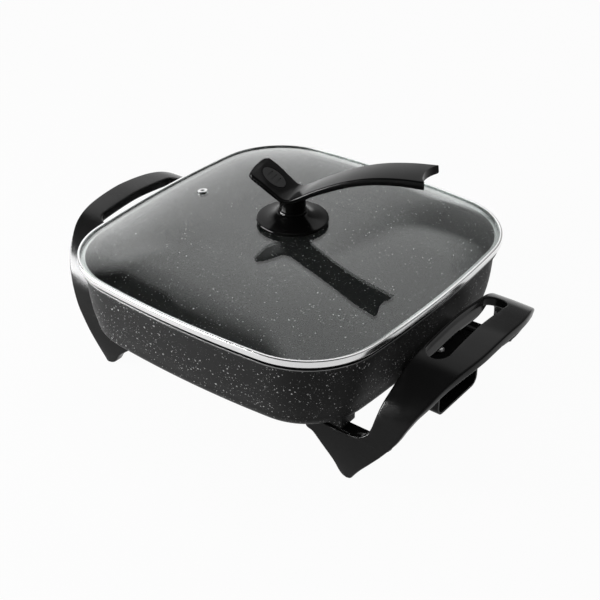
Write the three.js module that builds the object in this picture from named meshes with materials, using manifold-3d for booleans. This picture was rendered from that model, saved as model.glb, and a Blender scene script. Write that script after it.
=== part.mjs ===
// Electric skillet: a square pan on two handle frames, with a lift-off glass lid.
// Millimetres, +Z up. The origin is on the ground under the centre of the pan, and +X points to the socket.
import * as THREE from 'three';
import { mergeVertices } from 'three/addons/utils/BufferGeometryUtils.js';
import Module from 'manifold-3d';

const wasm = await Module();
wasm.setup();

// Gap between pieces that touch, and how far a cutter runs past what it cuts
const touchGap = 0.3;
const overrun = 3;
const weldDistance = 0.0001;

// Outline of the lid and pan: a square with round corners and slightly bulged sides
const lidHalfWidth = 150;
const lidHalfDepth = 154;
const lidCornerRadius = 70;
const sideBulge = 3.7;
const cornerSteps = 9;
const sideSteps = 4;

// Pan, from the lid's edge inwards: its lip, the seat for the lid's flange, the mouth and the wall
const lidOverhang = 2.5;
const panLipTop = 120.7;
const panLipThickness = 3.2;
const panLipHalfWidth = lidHalfWidth - lidOverhang;
const panLipWidth = 3.5;
const panLipEdgeRadius = 0.7;
const panSeatWidth = 4;
const panSeatDepth = 2.2;
const seatClearance = 0.5;
const panNeckHeight = 1.6;
const panLipFlare = 4.1;
const panWallTopHalfWidth = panLipHalfWidth - panLipFlare;
const panWallLean = 5.4;
const panWallBottomHalfWidth = panWallTopHalfWidth - panWallLean;
const panWallBulge = 2;
const panWallThickness = 4.4;
const panShoulderHeight = 66;
const panBottomHeight = 46.5;
const panCornerSweep = 34;
const panBottomHalfWidth = panWallBottomHalfWidth - panCornerSweep;
const panFootWidth = 5;
const panRecessHalfWidth = panBottomHalfWidth - panFootWidth;
const panFloorTop = 64;
const panFloorInset = 6;
const panFloorHalfWidth = panBottomHalfWidth - panFloorInset;
const panInnerShoulderHeight = 82;
const panFloorCornerShare = 0.6;
const panFilletSteps = 5;

// Cast pad that carries the terminals, and the lug above it
const castPadProud = 2.7;
const padFace = panWallBottomHalfWidth + castPadProud;
const padDepth = 12.7;
const padHalfWidth = 27;
const padTop = 68;
const lugLength = 16.3;
const lugReach = padFace + lugLength;
const lugHalfWidth = 12;
const lugThickness = 9;

// Heating element, its leads and the sensor sleeve
const terminalHeight = 52.5;
const terminalSpacing = 36;
const elementRadius = 3.6;
const elementMargin = 33;
const elementLoopHalf = panRecessHalfWidth - elementMargin;
const elementCornerRadius = 30;
const elementLeadBendRadius = 14;
const elementLeadDepth = 16.7;
const elementLeadEnd = padFace - elementLeadDepth;
const elementSteps = 76;
const leadBoreRadius = 4.2;
const pinRadius = 2;
const pinLength = 24.3;
const pinTip = padFace + pinLength;
const pinTipChamfer = 1;
const insulatorCollarRadius = 6;
const insulatorCollarLength = 4.5;
const sleeveRadius = 4;
const sleeveBoreRadius = 3.2;
const sleeveDepth = 38;
const sleeveFlangeRadius = 6;
const sleeveFlangeThickness = 1.5;

// Socket housing
const housingLength = 28.7;
const housingMouth = padFace + housingLength;
const housingHalfWidth = 30.5;
const housingBottom = 33.5;
const housingWall = 2;
const housingBackThickness = 2.5;
const housingCornerRadius = 8;
const housingTopPlateTop = 74.5;
const housingTopPlateThickness = 2.5;
const housingWingHalfWidth = 42;
const housingWingSetback = 8.4;
const housingWingReach = housingMouth - housingWingSetback;
const housingRidgeHeight = 1.2;
const housingRidgeWidth = 3;
const housingScrewSetback = 7.5;
const housingScrewX = lugReach - housingScrewSetback;

// Screws
const screwShankRadius = 2;
const screwHoleRadius = 2.3;
const screwHeadRadius = 4.2;
const screwHeadHeight = 2.6;
const screwCrownShare = 0.6;
// Radius and height of the domed head above its rim
const screwCrownShares = [
  [1, 0],
  [0.75, 0.65],
  [0.4, 1],
];
const socketScrewLength = 11;
const handleScrewLength = 15;

// Handle frames: the grip, two legs and two feet are one moulding
const handlePanGap = 12.5;
const handleInnerReach = panLipHalfWidth + handlePanGap;
const handleGripWidth = 47.1;
const handleReach = handleInnerReach + handleGripWidth;
const handleHeight = 112;
// How far the outer edge runs in from the grip to the ground
const handleSweep = 73.5;
const footSpread = 102;
const footTuck = 71.5;
const footInner = handleInnerReach - footTuck;
const shelfHeight = 40.5;
const shelfLength = 53.5;
const shelfOuter = footInner + shelfLength;
const shelfWidth = 18;
const shelfBack = footSpread - shelfWidth;
const handleDepth = 16;
const handleEdgeRadius = 2;
const handleCrown = 1;
const crownEdgeShare = 0.75;
const edgeStepShare = 0.3;
const legTopShare = 0.85;
const handleWall = 3;
const handleArchSteps = 24;
const ringSquaringShare = 1.1;
const slotInnerMargin = 2.5;
const slotInner = handleInnerReach + slotInnerMargin;
const slotOuterMargin = 24.1;
const slotOuter = handleReach - slotOuterMargin;
const slotHalfLength = 51;
const slotCornerRadius = 9.5;
const shelfThickness = 4.5;

// Blocks under the pan that the feet screw to
const postBlockInset = 8.5;
const postBlockInner = footInner + postBlockInset;
const postBlockLength = 25.5;
const postBlockOuter = postBlockInner + postBlockLength;
const postBlockSetback = 5.5;
const postBlockFront = footSpread - postBlockSetback;
const postBlockWidth = 18.5;
const postBlockBack = postBlockFront - postBlockWidth;
const postBlockSink = 16;
const postHoleDepth = 12;

// Rows from the middle of the grip down to the shelf: across, up, way in of the inner edge and of the
// outer edge, thickness
const archRowShares = [
  [0, 1, 0, 0, 0.5],
  [0.1343, 0.9946, 0, 0.0028, 0.5],
  [0.2657, 0.9839, 0, 0.0096, 0.5],
  [0.3922, 0.9705, 0.0013, 0.0299, 0.5],
  [0.5118, 0.9482, 0.0109, 0.0654, 0.5],
  [0.6186, 0.9071, 0.0218, 0.1088, 0.5],
  [0.7118, 0.8438, 0.0381, 0.1688, 0.5],
  [0.7971, 0.7625, 0.0448, 0.2327, 0.5],
  [0.8667, 0.6723, 0.0477, 0.3088, 0.4875],
  [0.9137, 0.5661, 0.0707, 0.3877, 0.475],
  [0.9343, 0.4911, 0.1143, 0.4382, 0.4625],
  [0.9451, 0.4482, 0.1552, 0.4722, 0.4625],
  [0.9559, 0.4062, 0.2151, 0.5103, 0.4625],
  [0.9627, 0.3732, 0.2926, 0.5441, 0.4625],
  [0.9657, 0.3625, 0.3605, 0.5551, 0.4625],
];

// Rows of the foot from the shelf down to the ground, in the same order
const footRowShares = [
  [0.9667, 0.3616, 0.9728, 0.5565, 0.4625],
  [0.9804, 0.2768, 0.966, 0.6545, 0.475],
  [0.9833, 0.2616, 0.8775, 0.6748, 0.4875],
  [0.9922, 0.1964, 0.7483, 0.758, 0.5125],
  [0.9961, 0.1071, 0.581, 0.8721, 0.5375],
  [0.9922, 0.0402, 0.4694, 0.951, 0.55],
  [0.9902, 0.0071, 0.4313, 0.989, 0.55],
  [0.9902, 0, 0.4218, 1, 0.5375],
];

// Lid
const rimHeight = 6;
const rimTop = panLipTop + touchGap + rimHeight;
const rimBevel = 0.9;
const rimTopWidth = 2.4;
const rimWall = 1.2;
const rimSheet = 1;
const rimFlangeInset = lidOverhang + panLipWidth + seatClearance;
const glassThickness = 3.4;
const glassRise = 18;
const glassDomePowerShare = 3.5;
const glassRingShares = [0.97, 0.9, 0.8, 0.68, 0.54, 0.38, 0.2];
const ventInset = 50;
const ventDistance = lidHalfWidth - ventInset;
const ventHoleRadius = 3.2;
const ventTubeRadius = 2.9;
const ventBoreRadius = 1.8;
const ventFlangeRadius = 4.8;
const ventFlangeHeight = 1;

// Knob and grip
const knobRadius = 30.4;
const knobEdgeHeight = 2.4;
const knobEdgeBevel = 0.8;
const knobHeight = 8.2;
const knobTopRadius = 13.2;
const knobHollowRadius = 26;
const knobHollowDepth = 2.5;
const knobHubRadius = 10;
const collarRadius = 12.3;
const collarHeight = 2.2;
const stemRadius = 11.1;
const sealRadius = 14;
const sealThickness = 1;
const washerRadius = 9;
const washerThickness = 1.2;
const knobScrewRadius = 2.3;
const knobBoreRadius = 2.6;
const knobScrewHeadRadius = 5;
const knobScrewHeadHeight = 3;
const knobScrewReach = 22;
const gripTurnDegrees = 12;
const gripLowPoint = 171;
const gripLength = 119.5;
const gripRise = 43.5;
const gripHalfWidth = 15.6;
const gripThickness = 5.5;
const gripEdgeRadius = 0.9;
const gripSteps = 34;
const tailNotchRadius = 25;
const tailNotchDepth = 5.5;

// Rows along the grip from the short end to the long end: along, up, half width, thickness
const gripRowShares = [
  [-0.272, 0.437, 0.42, 0.75],
  [-0.265, 0.43, 0.8, 0.8],
  [-0.252, 0.409, 1.02, 0.85],
  [-0.233, 0.385, 1.1, 0.88],
  [-0.162, 0.272, 1.1, 0.88],
  [-0.087, 0.13, 1.06, 0.85],
  [-0.026, 0.018, 1.02, 0.8],
  [0.02, 0.008, 1, 0.8],
  [0.082, 0.085, 0.98, 0.82],
  [0.185, 0.265, 0.96, 0.88],
  [0.328, 0.49, 0.96, 0.98],
  [0.472, 0.68, 0.96, 1.06],
  [0.636, 0.84, 0.98, 1.16],
  [0.82, 0.945, 1.01, 1.26],
  [1, 1, 1.05, 1.36],
];

// Thumb pad on the short arm of the grip
const padAlong = 17;
const padHalfLength = 11.5;
const padHalfBreadth = 9;
const padInlayThickness = 1.2;
const padProud = 0.25;
const padGrooveCount = 3;
const padGrooveWidth = 0.9;
const padGrooveDepth = 0.5;
const padGroovePitch = 4.6;

// How round the small turned and bored shapes are
const roundSides = 52;
const fineSides = 28;
const smallSides = 16;

// Finishes
const finishes = {
  coating: { color: 0x2b2b2c, roughness: 0.5, metalness: 0.3 },
  phenolic: { color: 0x131313, roughness: 0.32, metalness: 0 },
  glass: { color: 0x8f9694, roughness: 0.05, metalness: 0 },
  stainless: { color: 0xc9cccd, roughness: 0.2, metalness: 1 },
  chrome: { color: 0xd6d8d9, roughness: 0.12, metalness: 1 },
  steel: { color: 0x9fa2a4, roughness: 0.35, metalness: 1 },
  ceramic: { color: 0xe6e2d8, roughness: 0.6, metalness: 0 },
  sheath: { color: 0x55585a, roughness: 0.45, metalness: 1 },
  silicone: { color: 0x2a2a2a, roughness: 0.8, metalness: 0 },
  softTouch: { color: 0x1b1b1b, roughness: 0.6, metalness: 0 },
};

const skillet = new THREE.Group();
skillet.name = 'electric_skillet';

// Adds a mesh of its own material to the skillet
function addPiece(name, geometry, finish, parent = skillet) {
  const mesh = new THREE.Mesh(geometry, new THREE.MeshStandardMaterial(finish));
  mesh.name = name;
  parent.add(mesh);
  return mesh;
}

// Turns a closed geometry into a solid for joining and cutting
function solidOf(geometry) {
  const bare = geometry.clone();
  bare.deleteAttribute('normal');
  bare.deleteAttribute('uv');
  const merged = mergeVertices(bare, weldDistance);
  return new wasm.Manifold(new wasm.Mesh({
    numProp: 3,
    vertProperties: new Float32Array(merged.attributes.position.array),
    triVerts: new Uint32Array(merged.index.array),
  }));
}

// Turns a solid back into a geometry
function geometryOf(solid) {
  const mesh = solid.getMesh();
  const geometry = new THREE.BufferGeometry();
  geometry.setAttribute('position', new THREE.BufferAttribute(new Float32Array(mesh.vertProperties), 3));
  geometry.setIndex(new THREE.BufferAttribute(new Uint32Array(mesh.triVerts), 1));
  geometry.computeVertexNormals();
  return geometry;
}

// Skins rings of points that all hold the same count. Each end is closed with a cap, drawn in the plane
// of the given axes, or with one point.
function loft(rings, capAxes, tipPoints = {}) {
  const count = rings[0].length;
  const positions = rings.flat().flatMap((p) => [p.x, p.y, p.z]);
  const index = [];
  for (let r = 0; r < rings.length - 1; r += 1) {
    for (let i = 0; i < count; i += 1) {
      const j = (i + 1) % count;
      const [a, b] = [r * count + i, r * count + j];
      const [c, d] = [a + count, b + count];
      index.push(a, b, d, a, d, c);
    }
  }
  const last = (rings.length - 1) * count;
  const twiceArea = (corners) => {
    return corners.reduce((sum, p, i) => sum + p.cross(corners[(i + 1) % corners.length]), 0);
  };
  const cap = (ring, start, forward) => {
    const outline = ring.map((p) => new THREE.Vector2(p[capAxes[0]], p[capAxes[1]]));
    const wanted = Math.sign(twiceArea(outline)) * (forward ? 1 : -1);
    for (const [a, b, c] of THREE.ShapeUtils.triangulateShape(outline, [])) {
      const found = Math.sign(twiceArea([outline[a], outline[b], outline[c]]));
      const face = found === wanted ? [a, b, c] : [c, b, a];
      index.push(...face.map((k) => k + start));
    }
  };
  const fan = (point, start, forward) => {
    const tip = positions.length / 3;
    positions.push(point.x, point.y, point.z);
    for (let i = 0; i < count; i += 1) {
      const j = (i + 1) % count;
      index.push(...(forward ? [start + i, start + j, tip] : [start + j, start + i, tip]));
    }
  };
  if (tipPoints.first) fan(tipPoints.first, 0, false);
  else cap(rings[0], 0, false);
  if (tipPoints.last) fan(tipPoints.last, last, true);
  else cap(rings[rings.length - 1], last, true);
  const geometry = new THREE.BufferGeometry();
  geometry.setAttribute('position', new THREE.Float32BufferAttribute(positions, 3));
  geometry.setIndex(index);
  geometry.computeVertexNormals();
  return geometry;
}

// Skins rings that follow each other round a closed loop
function loopLoft(rings) {
  const count = rings[0].length;
  const positions = rings.flat().flatMap((p) => [p.x, p.y, p.z]);
  const index = [];
  rings.forEach((ring, r) => {
    const next = (r + 1) % rings.length;
    for (let i = 0; i < count; i += 1) {
      const j = (i + 1) % count;
      const [a, b] = [r * count + i, r * count + j];
      const [c, d] = [next * count + i, next * count + j];
      index.push(a, b, d, a, d, c);
    }
  });
  const geometry = new THREE.BufferGeometry();
  geometry.setAttribute('position', new THREE.Float32BufferAttribute(positions, 3));
  geometry.setIndex(index);
  geometry.computeVertexNormals();
  return geometry;
}

// A square outline with round corners and bulged sides, anticlockwise from the +X side
function squareOutline(halfWidth, cornerRadius, height) {
  const extra = lidHalfDepth - lidHalfWidth;
  const bulge = sideBulge * (halfWidth / lidHalfWidth);
  const halfX = halfWidth - bulge;
  const halfY = halfWidth + extra - bulge;
  const centreX = halfX - cornerRadius;
  const centreY = halfY - cornerRadius;
  const points = [];
  for (let quarter = 0; quarter < 4; quarter += 1) {
    const signX = quarter === 0 || quarter === 3 ? 1 : -1;
    const signY = quarter < 2 ? 1 : -1;
    for (let i = 0; i <= cornerSteps; i += 1) {
      const angle = (quarter + i / cornerSteps) * (Math.PI / 2);
      const x = signX * centreX + cornerRadius * Math.cos(angle);
      const y = signY * centreY + cornerRadius * Math.sin(angle);
      points.push(new THREE.Vector3(x, y, height));
    }
    const [alongX, alongY] = quarter % 2 === 0 ? [1, 0] : [0, 1];
    const outX = quarter === 1 ? -1 : quarter === 3 ? 1 : 0;
    const outY = quarter === 0 ? 1 : quarter === 2 ? -1 : 0;
    for (let i = 1; i < sideSteps; i += 1) {
      const t = 1 - 2 * (i / sideSteps);
      const run = quarter < 2 ? t : -t;
      const push = bulge * (1 - t * t);
      const x = alongX * run * centreX + outX * (halfX + push);
      const y = alongY * run * centreY + outY * (halfY + push);
      points.push(new THREE.Vector3(x, y, height));
    }
  }
  return points;
}

// A closed solid turned about Z from radius and height pairs
function turned(profile, sides) {
  const geometry = new THREE.LatheGeometry(profile.map(([r, z]) => new THREE.Vector2(r, z)), sides);
  geometry.rotateX(Math.PI / 2);
  return geometry;
}

// A cylinder along Z between two heights
function rod(radius, low, high, sides = smallSides) {
  const geometry = new THREE.CylinderGeometry(radius, radius, high - low, sides);
  geometry.rotateX(Math.PI / 2);
  geometry.translate(0, 0, (low + high) / 2);
  return geometry;
}

// A cylinder along X at a place across and a height
function crossRod(radius, from, to, y, z, sides = smallSides) {
  const geometry = rod(radius, from, to, sides);
  geometry.rotateY(Math.PI / 2);
  geometry.translate(0, y, z);
  return geometry;
}

// A box between two corners
function block(low, high) {
  const size = high.map((value, i) => value - low[i]);
  const geometry = new THREE.BoxGeometry(...size);
  geometry.translate(...low.map((value, i) => value + size[i] / 2));
  return geometry;
}

// A domed screw that points down from a seat, with its head above it
function screwGeometry(seat, length) {
  const crown = screwHeadHeight * screwCrownShare;
  const shoulder = seat + screwHeadHeight - crown;
  const dome = screwCrownShares.map(([across, up]) => [screwHeadRadius * across, shoulder + crown * up]);
  const profile = [
    [0, seat - length],
    [screwShankRadius, seat - length],
    [screwShankRadius, seat],
    [screwHeadRadius, seat],
    ...dome,
    [0, seat + screwHeadHeight],
  ];
  return turned(profile, smallSides);
}

// Driving places that several pieces share
const recessCeiling = terminalHeight + elementRadius + touchGap;
const terminalOffset = terminalSpacing / 2;
const housingBack = padFace + touchGap;
const housingRoof = housingTopPlateTop - housingTopPlateThickness;
const lugTop = housingRoof - touchGap;
const postBlockBase = shelfHeight + touchGap;
const postBlockX = (postBlockInner + postBlockOuter) / 2;
const postBlockY = (postBlockFront + postBlockBack) / 2;
const postScrewY = postBlockY;
const shelfBottom = shelfHeight - shelfThickness;
const shelfFront = footSpread - 2 * handleWall;
const panNeck = panLipTop - panLipThickness - panNeckHeight;
const panSeatHalfWidth = panLipHalfWidth - panLipWidth;
const panMouthHalfWidth = panSeatHalfWidth - panSeatWidth;
const panSeatTop = panLipTop - panSeatDepth;
const postHoleTop = postBlockBase + postHoleDepth;

// Corner radius of the pan's outline: parallel to the lid down to the shoulder, then tightening less
function panCorner(half, shoulderHalf) {
  const parallel = lidCornerRadius - (lidHalfWidth - Math.max(half, shoulderHalf));
  return parallel - panFloorCornerShare * Math.max(0, shoulderHalf - half);
}

// Pan body, from the recess under the floor, round the outside and back down the inside
function makePan() {
  const rings = [];
  const outerShoulder = panWallBottomHalfWidth;
  const innerShoulder = panWallBottomHalfWidth - panWallThickness;
  const ring = (half, height, shoulder = outerShoulder) => {
    rings.push(squareOutline(half, panCorner(half, shoulder), height));
  };
  // Quarter of an ellipse from the flat of the floor to the shoulder
  const fillet = (i, flatHalf, flatHeight, shoulder, shoulderHeight) => {
    const angle = (i / panFilletSteps) * (Math.PI / 2);
    const half = THREE.MathUtils.lerp(flatHalf, shoulder, Math.sin(angle));
    ring(half, THREE.MathUtils.lerp(shoulderHeight, flatHeight, Math.cos(angle)), shoulder);
  };
  ring(panRecessHalfWidth, recessCeiling);
  ring(panRecessHalfWidth, panBottomHeight);
  ring(panBottomHalfWidth, panBottomHeight);
  for (let i = 1; i <= panFilletSteps; i += 1) {
    fillet(i, panBottomHalfWidth, panBottomHeight, outerShoulder, panShoulderHeight);
  }
  const middle = (panWallBottomHalfWidth + panWallTopHalfWidth) / 2 + panWallBulge;
  const middleHeight = (panShoulderHeight + panNeck) / 2;
  ring(middle, middleHeight);
  ring(panWallTopHalfWidth, panNeck);
  ring(panLipHalfWidth, panLipTop - panLipThickness);
  ring(panLipHalfWidth, panLipTop - panLipEdgeRadius);
  ring(panLipHalfWidth - panLipEdgeRadius, panLipTop);
  ring(panSeatHalfWidth, panLipTop);
  ring(panSeatHalfWidth, panSeatTop);
  ring(panMouthHalfWidth, panSeatTop);
  ring(panMouthHalfWidth - panLipEdgeRadius, panSeatTop - panLipEdgeRadius);
  ring(middle - panWallThickness, middleHeight, innerShoulder);
  for (let i = panFilletSteps; i >= 0; i -= 1) {
    fillet(i, panFloorHalfWidth, panFloorTop, innerShoulder, panInnerShoulderHeight);
  }
  const tips = {
    first: new THREE.Vector3(0, 0, recessCeiling),
    last: new THREE.Vector3(0, 0, panFloorTop),
  };
  let pan = solidOf(loft(rings, ['x', 'y'], tips));
  const pad = block([padFace - padDepth, -padHalfWidth, panBottomHeight], [padFace, padHalfWidth, padTop]);
  const lugLow = [padFace - padDepth / 2, -lugHalfWidth, lugTop - lugThickness];
  const lug = block(lugLow, [lugReach, lugHalfWidth, lugTop]);
  pan = pan.add(solidOf(pad)).add(solidOf(lug));
  for (const signX of [-1, 1]) {
    for (const signY of [-1, 1]) {
      const [x0, x1] = [signX * postBlockInner, signX * postBlockOuter].sort((a, b) => a - b);
      const [y0, y1] = [signY * postBlockBack, signY * postBlockFront].sort((a, b) => a - b);
      const post = block([x0, y0, postBlockBase], [x1, y1, postBlockBase + postBlockSink]);
      pan = pan.add(solidOf(post));
      const hole = rod(screwHoleRadius, postBlockBase - overrun, postHoleTop);
      hole.translate(signX * postBlockX, signY * postScrewY, 0);
      pan = pan.subtract(solidOf(hole));
    }
  }
  for (const y of [-terminalOffset, terminalOffset]) {
    const boreStart = panRecessHalfWidth - overrun;
    const bore = crossRod(leadBoreRadius, boreStart, padFace + overrun, y, terminalHeight);
    pan = pan.subtract(solidOf(bore));
  }
  const sleeveEnd = padFace - sleeveDepth - touchGap;
  const sleeveHole = crossRod(sleeveRadius + touchGap, sleeveEnd, padFace + overrun, 0, terminalHeight);
  pan = pan.subtract(solidOf(sleeveHole));
  const screwHole = rod(screwHoleRadius, lugTop - socketScrewLength, lugTop + overrun);
  screwHole.translate(housingScrewX, 0, 0);
  return geometryOf(pan.subtract(solidOf(screwHole)));
}

// Centre line of half of the heating loop, from a lead's end to the middle of the far side
function elementHalfPath() {
  const points = [];
  const arc = (cx, cy, radius, from, to, steps) => {
    for (let i = 0; i <= steps; i += 1) {
      const angle = THREE.MathUtils.degToRad(THREE.MathUtils.lerp(from, to, i / steps));
      points.push([cx + radius * Math.cos(angle), cy + radius * Math.sin(angle)]);
    }
  };
  const leadBendX = elementLoopHalf + elementLeadBendRadius;
  const leadBendY = terminalOffset + elementLeadBendRadius;
  const cornerCentre = elementLoopHalf - elementCornerRadius;
  points.push([elementLeadEnd, terminalOffset], [(elementLeadEnd + leadBendX) / 2, terminalOffset]);
  arc(leadBendX, leadBendY, elementLeadBendRadius, -90, -180, 3);
  arc(cornerCentre, cornerCentre, elementCornerRadius, 0, 90, 4);
  points.push([0, elementLoopHalf]);
  arc(-cornerCentre, cornerCentre, elementCornerRadius, 90, 180, 4);
  points.push([-elementLoopHalf, 0]);
  return points;
}

// Heating element: one sheathed tube, both ends in the pan's bores
function makeElement() {
  const half = elementHalfPath();
  const back = half.slice(0, -1).reverse().map(([x, y]) => [x, -y]);
  const points = [...half, ...back].map(([x, y]) => new THREE.Vector3(x, y, terminalHeight));
  const section = new THREE.Shape();
  section.absarc(0, 0, elementRadius, 0, Math.PI * 2);
  const path = new THREE.CatmullRomCurve3(points, false, 'centripetal');
  return new THREE.ExtrudeGeometry(section, {
    steps: elementSteps, extrudePath: path, curveSegments: 4, bevelEnabled: false,
  });
}

// Turned pieces that lie along X get their profile as radius and X pairs
function turnedAlongX(profile, y, sides = smallSides) {
  const geometry = turned(profile, sides);
  geometry.rotateY(Math.PI / 2);
  geometry.translate(0, y, terminalHeight);
  return geometry;
}

// Ceramic bush of one terminal: a shank in the pan's bore and a collar against its pad
function makeInsulator(y) {
  const bore = pinRadius + touchGap;
  const shank = leadBoreRadius - touchGap;
  const start = elementLeadEnd + touchGap;
  const collarStart = padFace + touchGap;
  const collarEnd = collarStart + insulatorCollarLength;
  return turnedAlongX([
    [bore, start], [shank, start], [shank, collarStart], [insulatorCollarRadius, collarStart],
    [insulatorCollarRadius, collarEnd], [bore, collarEnd], [bore, start],
  ], y);
}

// Terminal pin, from the lead's end to its bevelled tip
function makePin(y) {
  const start = elementLeadEnd + touchGap;
  return turnedAlongX([
    [0, start], [pinRadius, start], [pinRadius, pinTip - pinTipChamfer],
    [pinRadius - pinTipChamfer, pinTip], [0, pinTip],
  ], y);
}

// Sleeve for the heat-control probe, with a flange against the pad
function makeProbeSleeve() {
  const flangeStart = padFace + touchGap;
  const flangeEnd = flangeStart + sleeveFlangeThickness;
  const start = padFace - sleeveDepth;
  return turnedAlongX([
    [sleeveBoreRadius, start], [sleeveRadius, start], [sleeveRadius, flangeStart],
    [sleeveFlangeRadius, flangeStart], [sleeveFlangeRadius, flangeEnd],
    [sleeveBoreRadius, flangeEnd], [sleeveBoreRadius, start],
  ], 0);
}

// Outline of the socket housing's box, seen along X, with round lower corners
function housingShape(inset) {
  const half = housingHalfWidth - inset;
  const low = housingBottom + inset;
  const radius = housingCornerRadius - inset;
  const shape = new THREE.Shape();
  shape.moveTo(-half, housingRoof);
  shape.lineTo(-half, low + radius);
  shape.absarc(-half + radius, low + radius, radius, Math.PI, Math.PI * 1.5);
  shape.lineTo(half - radius, low);
  shape.absarc(half - radius, low + radius, radius, Math.PI * 1.5, Math.PI * 2);
  shape.lineTo(half, housingRoof);
  shape.closePath();
  return shape;
}

// Extrudes an outline drawn in the Y and Z axes along X
function alongX(shape, from, to, segments) {
  const geometry = new THREE.ExtrudeGeometry(shape, {
    depth: to - from, bevelEnabled: false, curveSegments: segments,
  });
  geometry.rotateZ(Math.PI / 2);
  geometry.rotateY(Math.PI / 2);
  geometry.translate(from, 0, 0);
  return geometry;
}

// Open-ended box round the terminals, under a plate that is screwed to the pan's lug
function makeHousing() {
  const inside = housingBack + housingBackThickness;
  let housing = solidOf(alongX(housingShape(0), housingBack, housingMouth, 5));
  const room = solidOf(alongX(housingShape(housingWall), inside, housingMouth + overrun, 5));
  housing = housing.subtract(room);
  const plateLow = [housingBack, -housingWingHalfWidth, housingRoof - touchGap];
  const plateHigh = [housingWingReach, housingWingHalfWidth, housingTopPlateTop];
  housing = housing.add(solidOf(block(plateLow, plateHigh)));
  const roofLow = [housingBack, -housingHalfWidth, housingRoof - touchGap];
  housing = housing.add(solidOf(block(roofLow, [housingMouth, housingHalfWidth, housingTopPlateTop])));
  for (const side of [-1, 1]) {
    const edge = side * (housingWingHalfWidth - housingRidgeWidth / 2);
    const ridgeLow = [housingBack, edge - housingRidgeWidth / 2, housingRoof];
    const ridgeTop = housingTopPlateTop + housingRidgeHeight;
    const ridgeHigh = [housingWingReach, edge + housingRidgeWidth / 2, ridgeTop];
    housing = housing.add(solidOf(block(ridgeLow, ridgeHigh)));
  }
  const gap = 2 * touchGap;
  const lugCutLow = [housingBack - overrun, -lugHalfWidth - gap, lugTop - lugThickness - gap];
  const lugCutHigh = [lugReach + gap, lugHalfWidth + gap, housingRoof];
  housing = housing.subtract(solidOf(block(lugCutLow, lugCutHigh)));
  const passages = [
    [-terminalOffset, insulatorCollarRadius],
    [terminalOffset, insulatorCollarRadius],
    [0, sleeveFlangeRadius],
  ];
  for (const [y, radius] of passages) {
    const hole = crossRod(radius + touchGap, housingBack - overrun, inside + overrun, y, terminalHeight);
    housing = housing.subtract(solidOf(hole));
  }
  const screwHole = rod(screwHoleRadius, housingRoof - overrun, housingTopPlateTop + overrun);
  screwHole.translate(housingScrewX, 0, 0);
  return geometryOf(housing.subtract(solidOf(screwHole)));
}

// One row of the handle frame as real sizes
function handleRow([across, up, inner, outer, thickness]) {
  return {
    y: across * footSpread,
    z: up * handleHeight,
    inner: handleInnerReach - inner * handleSweep,
    outer: handleReach - outer * handleSweep,
    depth: thickness * handleDepth,
  };
}

// Smooth stations of half the frame: across, up, inner edge, outer edge, thickness and the way inwards
function handleStations() {
  const rows = archRowShares.map(handleRow);
  const mirrored = { ...rows[1], y: -rows[1].y };
  const spline = (read) => {
    const points = [mirrored, ...rows].map((row) => new THREE.Vector3(...read(row)));
    return new THREE.CatmullRomCurve3(points, false, 'catmullrom', 0.5);
  };
  const line = spline((row) => [0, row.y, row.z]);
  const edges = spline((row) => [row.inner, row.outer, row.depth]);
  const first = 1 / rows.length;
  const stations = [];
  for (let i = 0; i <= handleArchSteps; i += 1) {
    const t = THREE.MathUtils.lerp(first, 1, i / handleArchSteps);
    const place = line.getPoint(t);
    const tangent = line.getTangent(t);
    const sizes = edges.getPoint(t);
    const lean = Math.atan2(-tangent.z, tangent.y) * ringSquaringShare;
    const angle = i === 0 ? 0 : Math.min(Math.PI / 2, Math.max(0, lean));
    stations.push({ y: place.y, z: place.z, inner: sizes.x, outer: sizes.y, depth: sizes.z, angle });
  }
  for (const row of footRowShares.map(handleRow)) stations.push({ ...row, angle: Math.PI / 2 });
  return stations;
}

// Points of the frame's cross-section at a station, on the side given by the sign
function handleRing(station, sign, sides) {
  const { y, z, inner, outer, depth, angle } = station;
  const [inY, inZ] = [-Math.sin(angle) * sign, -Math.cos(angle)];
  return sides(inner, outer, depth).map(([x, d]) => new THREE.Vector3(x, sign * y + inY * d, z + inZ * d));
}

// Cross-section of the solid frame: flat back, crowned face, round edges
function frameSection(inner, outer, depth) {
  const r = handleEdgeRadius;
  const step = r * edgeStepShare;
  const edgeCrown = handleCrown * crownEdgeShare;
  const middle = (inner + outer) / 2;
  const quarter = (outer - inner) / 4;
  return [
    [inner, depth - r / 2], [inner, r], [inner + step, step], [inner + r, 0],
    [middle - quarter, -edgeCrown], [middle, -handleCrown], [middle + quarter, -edgeCrown],
    [outer - r, 0], [outer - step, step], [outer, r], [outer, depth - r / 2], [outer - r / 2, depth],
    [inner + r / 2, depth],
  ];
}

// Cross-section of the hollow behind a leg or foot
function pocketSection(inner, outer, depth) {
  const [low, high] = [inner + handleWall, outer - handleWall];
  return [[low, depth + overrun], [low, handleWall], [high, handleWall], [high, depth + overrun]];
}

// Outline of the finger slot, seen from above
function slotShape() {
  const [x0, x1, half, r] = [slotInner, slotOuter, slotHalfLength, slotCornerRadius];
  const shape = new THREE.Shape();
  shape.moveTo(x0 + r, -half);
  shape.lineTo(x1 - r, -half);
  shape.absarc(x1 - r, -half + r, r, -Math.PI / 2, 0);
  shape.lineTo(x1, half - r);
  shape.absarc(x1 - r, half - r, r, 0, Math.PI / 2);
  shape.lineTo(x0 + r, half);
  shape.absarc(x0 + r, half - r, r, Math.PI / 2, Math.PI);
  shape.lineTo(x0, -half + r);
  shape.absarc(x0 + r, -half + r, r, Math.PI, Math.PI * 1.5);
  return shape;
}

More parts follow.
